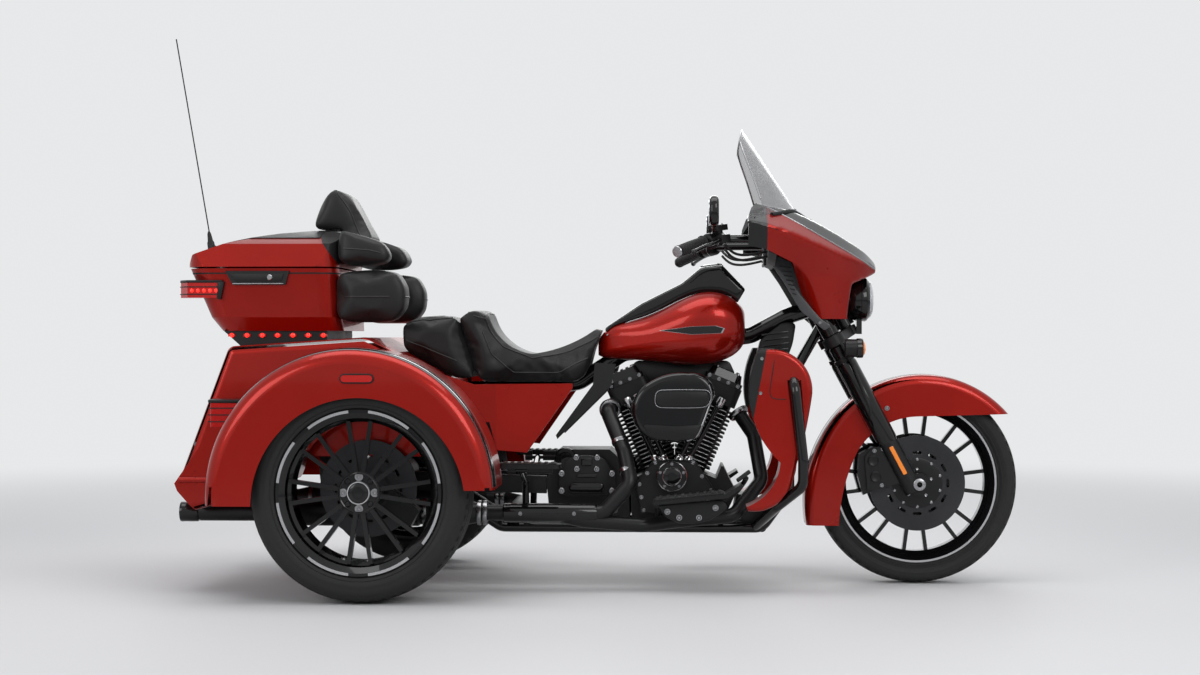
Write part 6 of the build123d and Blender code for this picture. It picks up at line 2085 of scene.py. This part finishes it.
@dataclass
class TankTrim:
    """The tank's spear plates, its console and its filler cap."""

    spear: Sequence[Flat] = ((0.204, 0.801), (0.3, 0.813), (0.372, 0.815), (0.398, 0.8075),
        (0.39, 0.793), (0.3, 0.789))

    def spear_skin(self, work: Work, share: float, rise: float, thick: float) -> Work:
        """Lays one layer of the spear plate on the tank.

        Args:
            work: The work that takes it.
            share: How large it is, as a share of the spear's outline.
            rise: How far it stands off the tank.
            thick: Its thickness.

        Returns:
            The work.
        """
        outline = ring_of(self.spear, share, (0.305, 0.803))
        cuts: list[tuple[Point, Point]] = [((0, -0.01, 0), (0, -1, 0))]
        for (x, z), (next_x, next_z) in zip(outline, outline[1:] + outline[:1]):
            cuts.append(((x, 0, z), (next_z - z, 0, x - next_x)))
        return work.skin("fuel_tank", cuts, lambda middle, normal: normal.y < -0.2, rise, thick)

    def build(self) -> None:
        """Builds every piece."""
        self.spear_skin(Work(), 1.06, 0.001, 0.0016).both_sides().piece("tank_spear_rims",
            "machined_steel")
        self.spear_skin(Work(), 1, 0.0024, 0.0022).both_sides().piece("tank_spears",
            "black_clearcoat")
        RoundedBlock("tank_console", "console", Body.CHASSIS, 8, voxel=0.0055, grow=0.003).build()
        Work().lathe([(0.036, -0.004), (0.036, 0.004), (0.034, 0.007), (0.026, 0.009),
            (0.024, 0.0078), (0, 0.0085)], (0.362, 0, 1.0045), (-0.12, 0, 0.99),
            56).piece("filler_cap", "black_clearcoat")
        Work().lathe([(0.0392, -0.003), (0.0392, 0.0015), (0.0375, 0.003), (0.0358, 0.0015)],
            (0.362, 0, 1.0045), (-0.12, 0, 0.99), 56).piece("filler_ring", "machined_aluminium")
        tank = Surface.of_node("fuel_tank")
        line = Work()
        for side in SIDES:
            run = []
            for x in (0.03, 0.085, 0.14, 0.2, 0.26, 0.32, 0.38, 0.425):
                place = tank.from_top(x, side * 0.0605)
                run.append((place[0], place[1], place[2] + 0.0015))
            line.tube(run, 0.0022)
        line.piece("console_lines", "machined_steel")


@dataclass
class GuardTrim:
    """The lower fairings' dark backs, the covers behind them and the cooler's fins."""

    def build(self) -> None:
        """Builds every piece."""
        dark = Work().skin("lower_fairings", (((0, -0.2, 0), (0, -1, 0)), ((0.527, 0, 0.744),
            (-0.98, 0, 0.19)), ((0, 0, 0.52), (0, 0, 1))), lambda middle, normal: True, 0.0008,
            0.0016)
        dark.both_sides().piece("lower_fairing_backs", "moulded_dark")
        skin = Surface.of_node("lower_fairings")
        seam, knobs = Work(), Work()
        line = []
        for x, z in ((0.553, 0.738), (0.548, 0.7), (0.542, 0.66), (0.536, 0.625), (0.536, 0.604),
                (0.546, 0.594), (0.566, 0.592), (0.584, 0.592)):
            place = skin.from_side(x, z, -1)
            line.append((x, place[1] - 0.0003, z))
        seam.tube([place for place in line if abs(place[1]) > 0.2], 0.0014)
        seam.both_sides().piece("lower_fairing_seams", "moulded_dark")
        for x, z in ((0.512, 0.715), (0.508, 0.61)):
            place = skin.from_side(x, z, -1)
            knobs.bolt(place, (0, -1, 0), 0.0042, 0.003)
        knobs.both_sides().piece("lower_fairing_bolts", "machined_steel")
        Work().plate([(0.5, 0.7), (0.52, 0.775), (0.59, 0.828), (0.632, 0.826), (0.622, 0.76),
            (0.596, 0.69), (0.545, 0.672)], -0.04, 0.04, 0.014, 0.006).piece("neck_cover",
            "satin_black_coat")
        Work().plate([(0.085, 0.64), (0.12, 0.705), (0.42, 0.705), (0.44, 0.66), (0.38, 0.628),
            (0.15, 0.622)], -0.032, 0.032, 0.012, 0.004).piece("backbone_cover", "satin_black_coat")
        ribs = Work()
        for number in range(5):
            z = 0.712 + 0.018 * number
            ribs.plate([(0.522, z), (0.608, z + 0.01), (0.608, z + 0.016), (0.522, z + 0.006)],
                -0.0425, -0.039, 0, 0.001)
        ribs.both_sides().piece("neck_ribs", "black_clearcoat")
        fins = Work()
        for number in range(9):
            z = 0.204 + 0.0085 * number
            fins.slab([(0.515 + 0.003 * number, -0.082, z),
                (0.546 - 0.0026 * abs(number - 3), -0.082, z),
                (0.546 - 0.0026 * abs(number - 3), 0.082, z), (0.515 + 0.003 * number, 0.082, z)],
                (0, 0, 0.0026), 0, 0.0004)
        fins.piece("cooler_fins", "satin_black_coat")


# Rear body and top box
@dataclass
class RearTrim:
    """The stripes, the lamps' trim and the ledge of the rear body."""

    arch: Flat = (-0.666, 0.292)

    def stripes(self) -> None:
        """Makes the stripes on the rear fenders' crests, with thin bright bands along their edges
        as painted highlights.
        """
        stripe, line = Work(), Work()

        def outer(middle: Vector, normal: Vector) -> bool:
            """Says whether a face is on the fender's outside."""
            away = Vector((middle.x - self.arch[0], 0, middle.z - self.arch[1]))
            return away.dot(normal) > 0.05 * away.length and away.length > 0.37

        ends = (((0, 0, 0.345), (0, 0, 1)), ((-1.02, 0, 0), (1, 0, 0)))
        stripe.skin("rear_fender_right", (((0, -0.618, 0), (0, -1, 0)), ((0, -0.668, 0), (0, 1, 0)),
            *ends), outer, 0.0006, 0.0013)
        # Thin bright bands along both edges of the stripe: painted highlights.
        for low, high in ((0.668, 0.6715), (0.6145, 0.618)):
            line.skin("rear_fender_right", (((0, -low, 0), (0, -1, 0)), ((0, -high, 0), (0, 1, 0)),
                *ends), outer, 0.0009, 0.0016)
        stripe.both_sides().piece("rear_fender_stripes", "black_clearcoat")
        line.both_sides().piece("rear_fender_lines", "machined_steel")

    def lamps(self) -> None:
        """Makes the bezels, ribs, small lights and cowls of the rear lamps."""
        bezel, ribs, lights = Work(), Work(), Work()
        half, radius = 0.036, 0.0118
        ring = [(-0.668 + half * sign + radius * cos(radians(angle)), -0.6972,
            0.66 + radius * sin(radians(angle))) for sign, angles in ((1, range(-90, 91, 30)), (-1,
            range(90, 271, 30))) for angle in angles]
        bezel.tube(ring, 0.003, closed=True)
        for number in range(7):
            x = -0.99 + 0.048 * (number - 3)
            lights.lathe([(0.0072, 0), (0.0068, 0.0026), (0.004, 0.0044), (0, 0.005)],
                (x, -0.2415, 0.786), (0, -1, 0), 24)
        for number in range(3):
            z = 0.528 + 0.02 * number
            ribs.slab([(-1.134, -0.5615, z), (-1.034, -0.5615, z), (-1.034, -0.5615, z + 0.003),
                (-1.134, -0.5615, z + 0.003)], (0, -0.0015, 0))
        for z in (0.913, 0.936):
            ribs.tube([(-1.2935, -0.192, z), (-1.2935, -0.25, z), (-1.263, -0.2915, z),
                (-1.168, -0.2915, z)], 0.0016, smooth=False)
        for number in range(5):
            lights.lathe([(0.0058, 0), (0.0052, 0.0018), (0, 0.0026)],
                (-1.248 + 0.019 * number, -0.2902, 0.9245), (0, -1, 0), 20)
        bezel.both_sides().piece("marker_bezels", "satin_black_coat")
        ribs.both_sides().piece("lamp_ribs", "moulded_dark")
        lights.both_sides().piece("small_lights", "lit_red")
        cowl = Work()
        cowl.slab([(-1.136, -0.45, 0.585), (-1.02, -0.45, 0.585), (-1.02, -0.562, 0.585),
            (-1.136, -0.562, 0.585)], (0, 0, 0.01), 0.014, 0.003)
        cowl.slab([(-1.2945, -0.188, 0.9485), (-1.2945, -0.2515, 0.9485),
            (-1.2635, -0.2925, 0.9485), (-1.152, -0.2925, 0.9485), (-1.152, -0.25, 0.9485)],
            (0, 0, 0.0085), 0.004, 0.002)
        cowl.plate([(-1.17, 0.9), (-1.158, 0.896), (-1.146, 0.952), (-1.168, 0.952)], -0.2925,
            -0.27, 0.003, 0.002)
        cowl.both_sides().piece("lamp_cowls", "satin_black_coat")

    def ledge(self) -> None:
        """Makes the ledges along the body's lower rear."""
        skin = Surface.of_node("rear_body")
        work = Work()
        line = []
        for x in (-1.255, -1.235, -1.21, -1.18, -1.15, -1.12):
            place = skin.from_side(x, 0.347, -1)
            if abs(place[1]) > 0.2:
                line.append((x, place[1] + 0.002, 0.347))
        work.tube(line, 0.0095)
        work.both_sides().piece("rear_ledges", "red_clearcoat")

    def build(self) -> None:
        """Builds every piece."""
        self.stripes()
        self.lamps()
        self.ledge()


@dataclass
class BoxTrim:
    """The top box's lid panel, leather flap, latch plate, seam and antenna foot."""

    def build(self) -> None:
        """Builds every piece."""
        Work().skin("topbox_lid", (((-1.165, 0, 0), (1, 0, 0)), ((-0.862, 0, 0), (-1, 0, 0)),
            ((0, -0.215, 0), (0, 1, 0)), ((0, 0.215, 0), (0, -1, 0)), ((0, 0, 1.045), (0, 0, 1))),
            lambda middle, normal: normal.z > 0.5, 0.003, 0.004).piece("lid_panel", "moulded_dark",
            Body.LID)
        Work().skin("topbox_lid", (((-0.874, 0, 1.112), (0.815, 0, 0.579)),), lambda middle,
            normal: normal.y * middle.y > 0.02 or normal.z > 0.3, 0.0012,
            0.003).piece("backrest_flap", "black_leather", Body.LID)
        latch, key = Work(), Work()
        latch.plate([(-1.128, 0.977), (-0.96, 0.977), (-0.968, 0.953), (-1.11, 0.953)], -0.2945,
            -0.2915, 0.004, 0.0012)
        latch.piece("latch_plate", "moulded_dark")
        Work().tube([(-1.12, -0.2932, 0.9455), (-0.962, -0.2932, 0.9455)],
            0.0018).piece("latch_line", "machined_steel")
        key.lathe([(0.0085, 0), (0.0085, 0.002), (0.007, 0.0035), (0, 0.0035)],
            (-1.004, -0.2945, 0.965), (0, -1, 0), 28)
        key.piece("latch_lock", "machined_steel")
        Work().lathe([(0.018, 0), (0.0175, 0.006), (0.0125, 0.012), (0.0112, 0.034), (0.0085, 0.04),
            (0.006, 0.062), (0.003, 0.07), (0, 0.07)], (-1.216, -0.15, 1.046),
            (-0.165, -0.02, 0.986), 32).piece("antenna_foot", "grip_moulding", Body.LID)
        Work().skin("topbox_body", (((0, 0, 0.976), (0, 0, 1)), ((0, 0, 0.9805), (0, 0, -1))),
            lambda middle, normal: Vector((middle.x + 1.03, middle.y,
            0)).dot(Vector((normal.x, normal.y, 0))) > 0, 0.0008, 0.0016).piece("box_seam_line",
            "moulded_dark")


def main() -> None:
    """Builds the scene, piece by piece."""
    logging.basicConfig(level=logging.INFO, format="%(message)s")
    bpy.context.scene.view_settings.view_transform = "Standard"
    Studio().build()
    SHOP.stock(FINISHES)
    PackedNodes().dress()
    for assembly in (Wheels(), ForkTrim(), FairingTrim(), Dash(), Controls(), EngineTrim(),
            ExhaustTrim(), BoardTrim(), TankTrim(), GuardTrim(), RearTrim(), BoxTrim(),
            SoftGoods()):
        log.info("building %s", type(assembly).__name__)
        assembly.build()


if __name__ == "__main__":
    main()
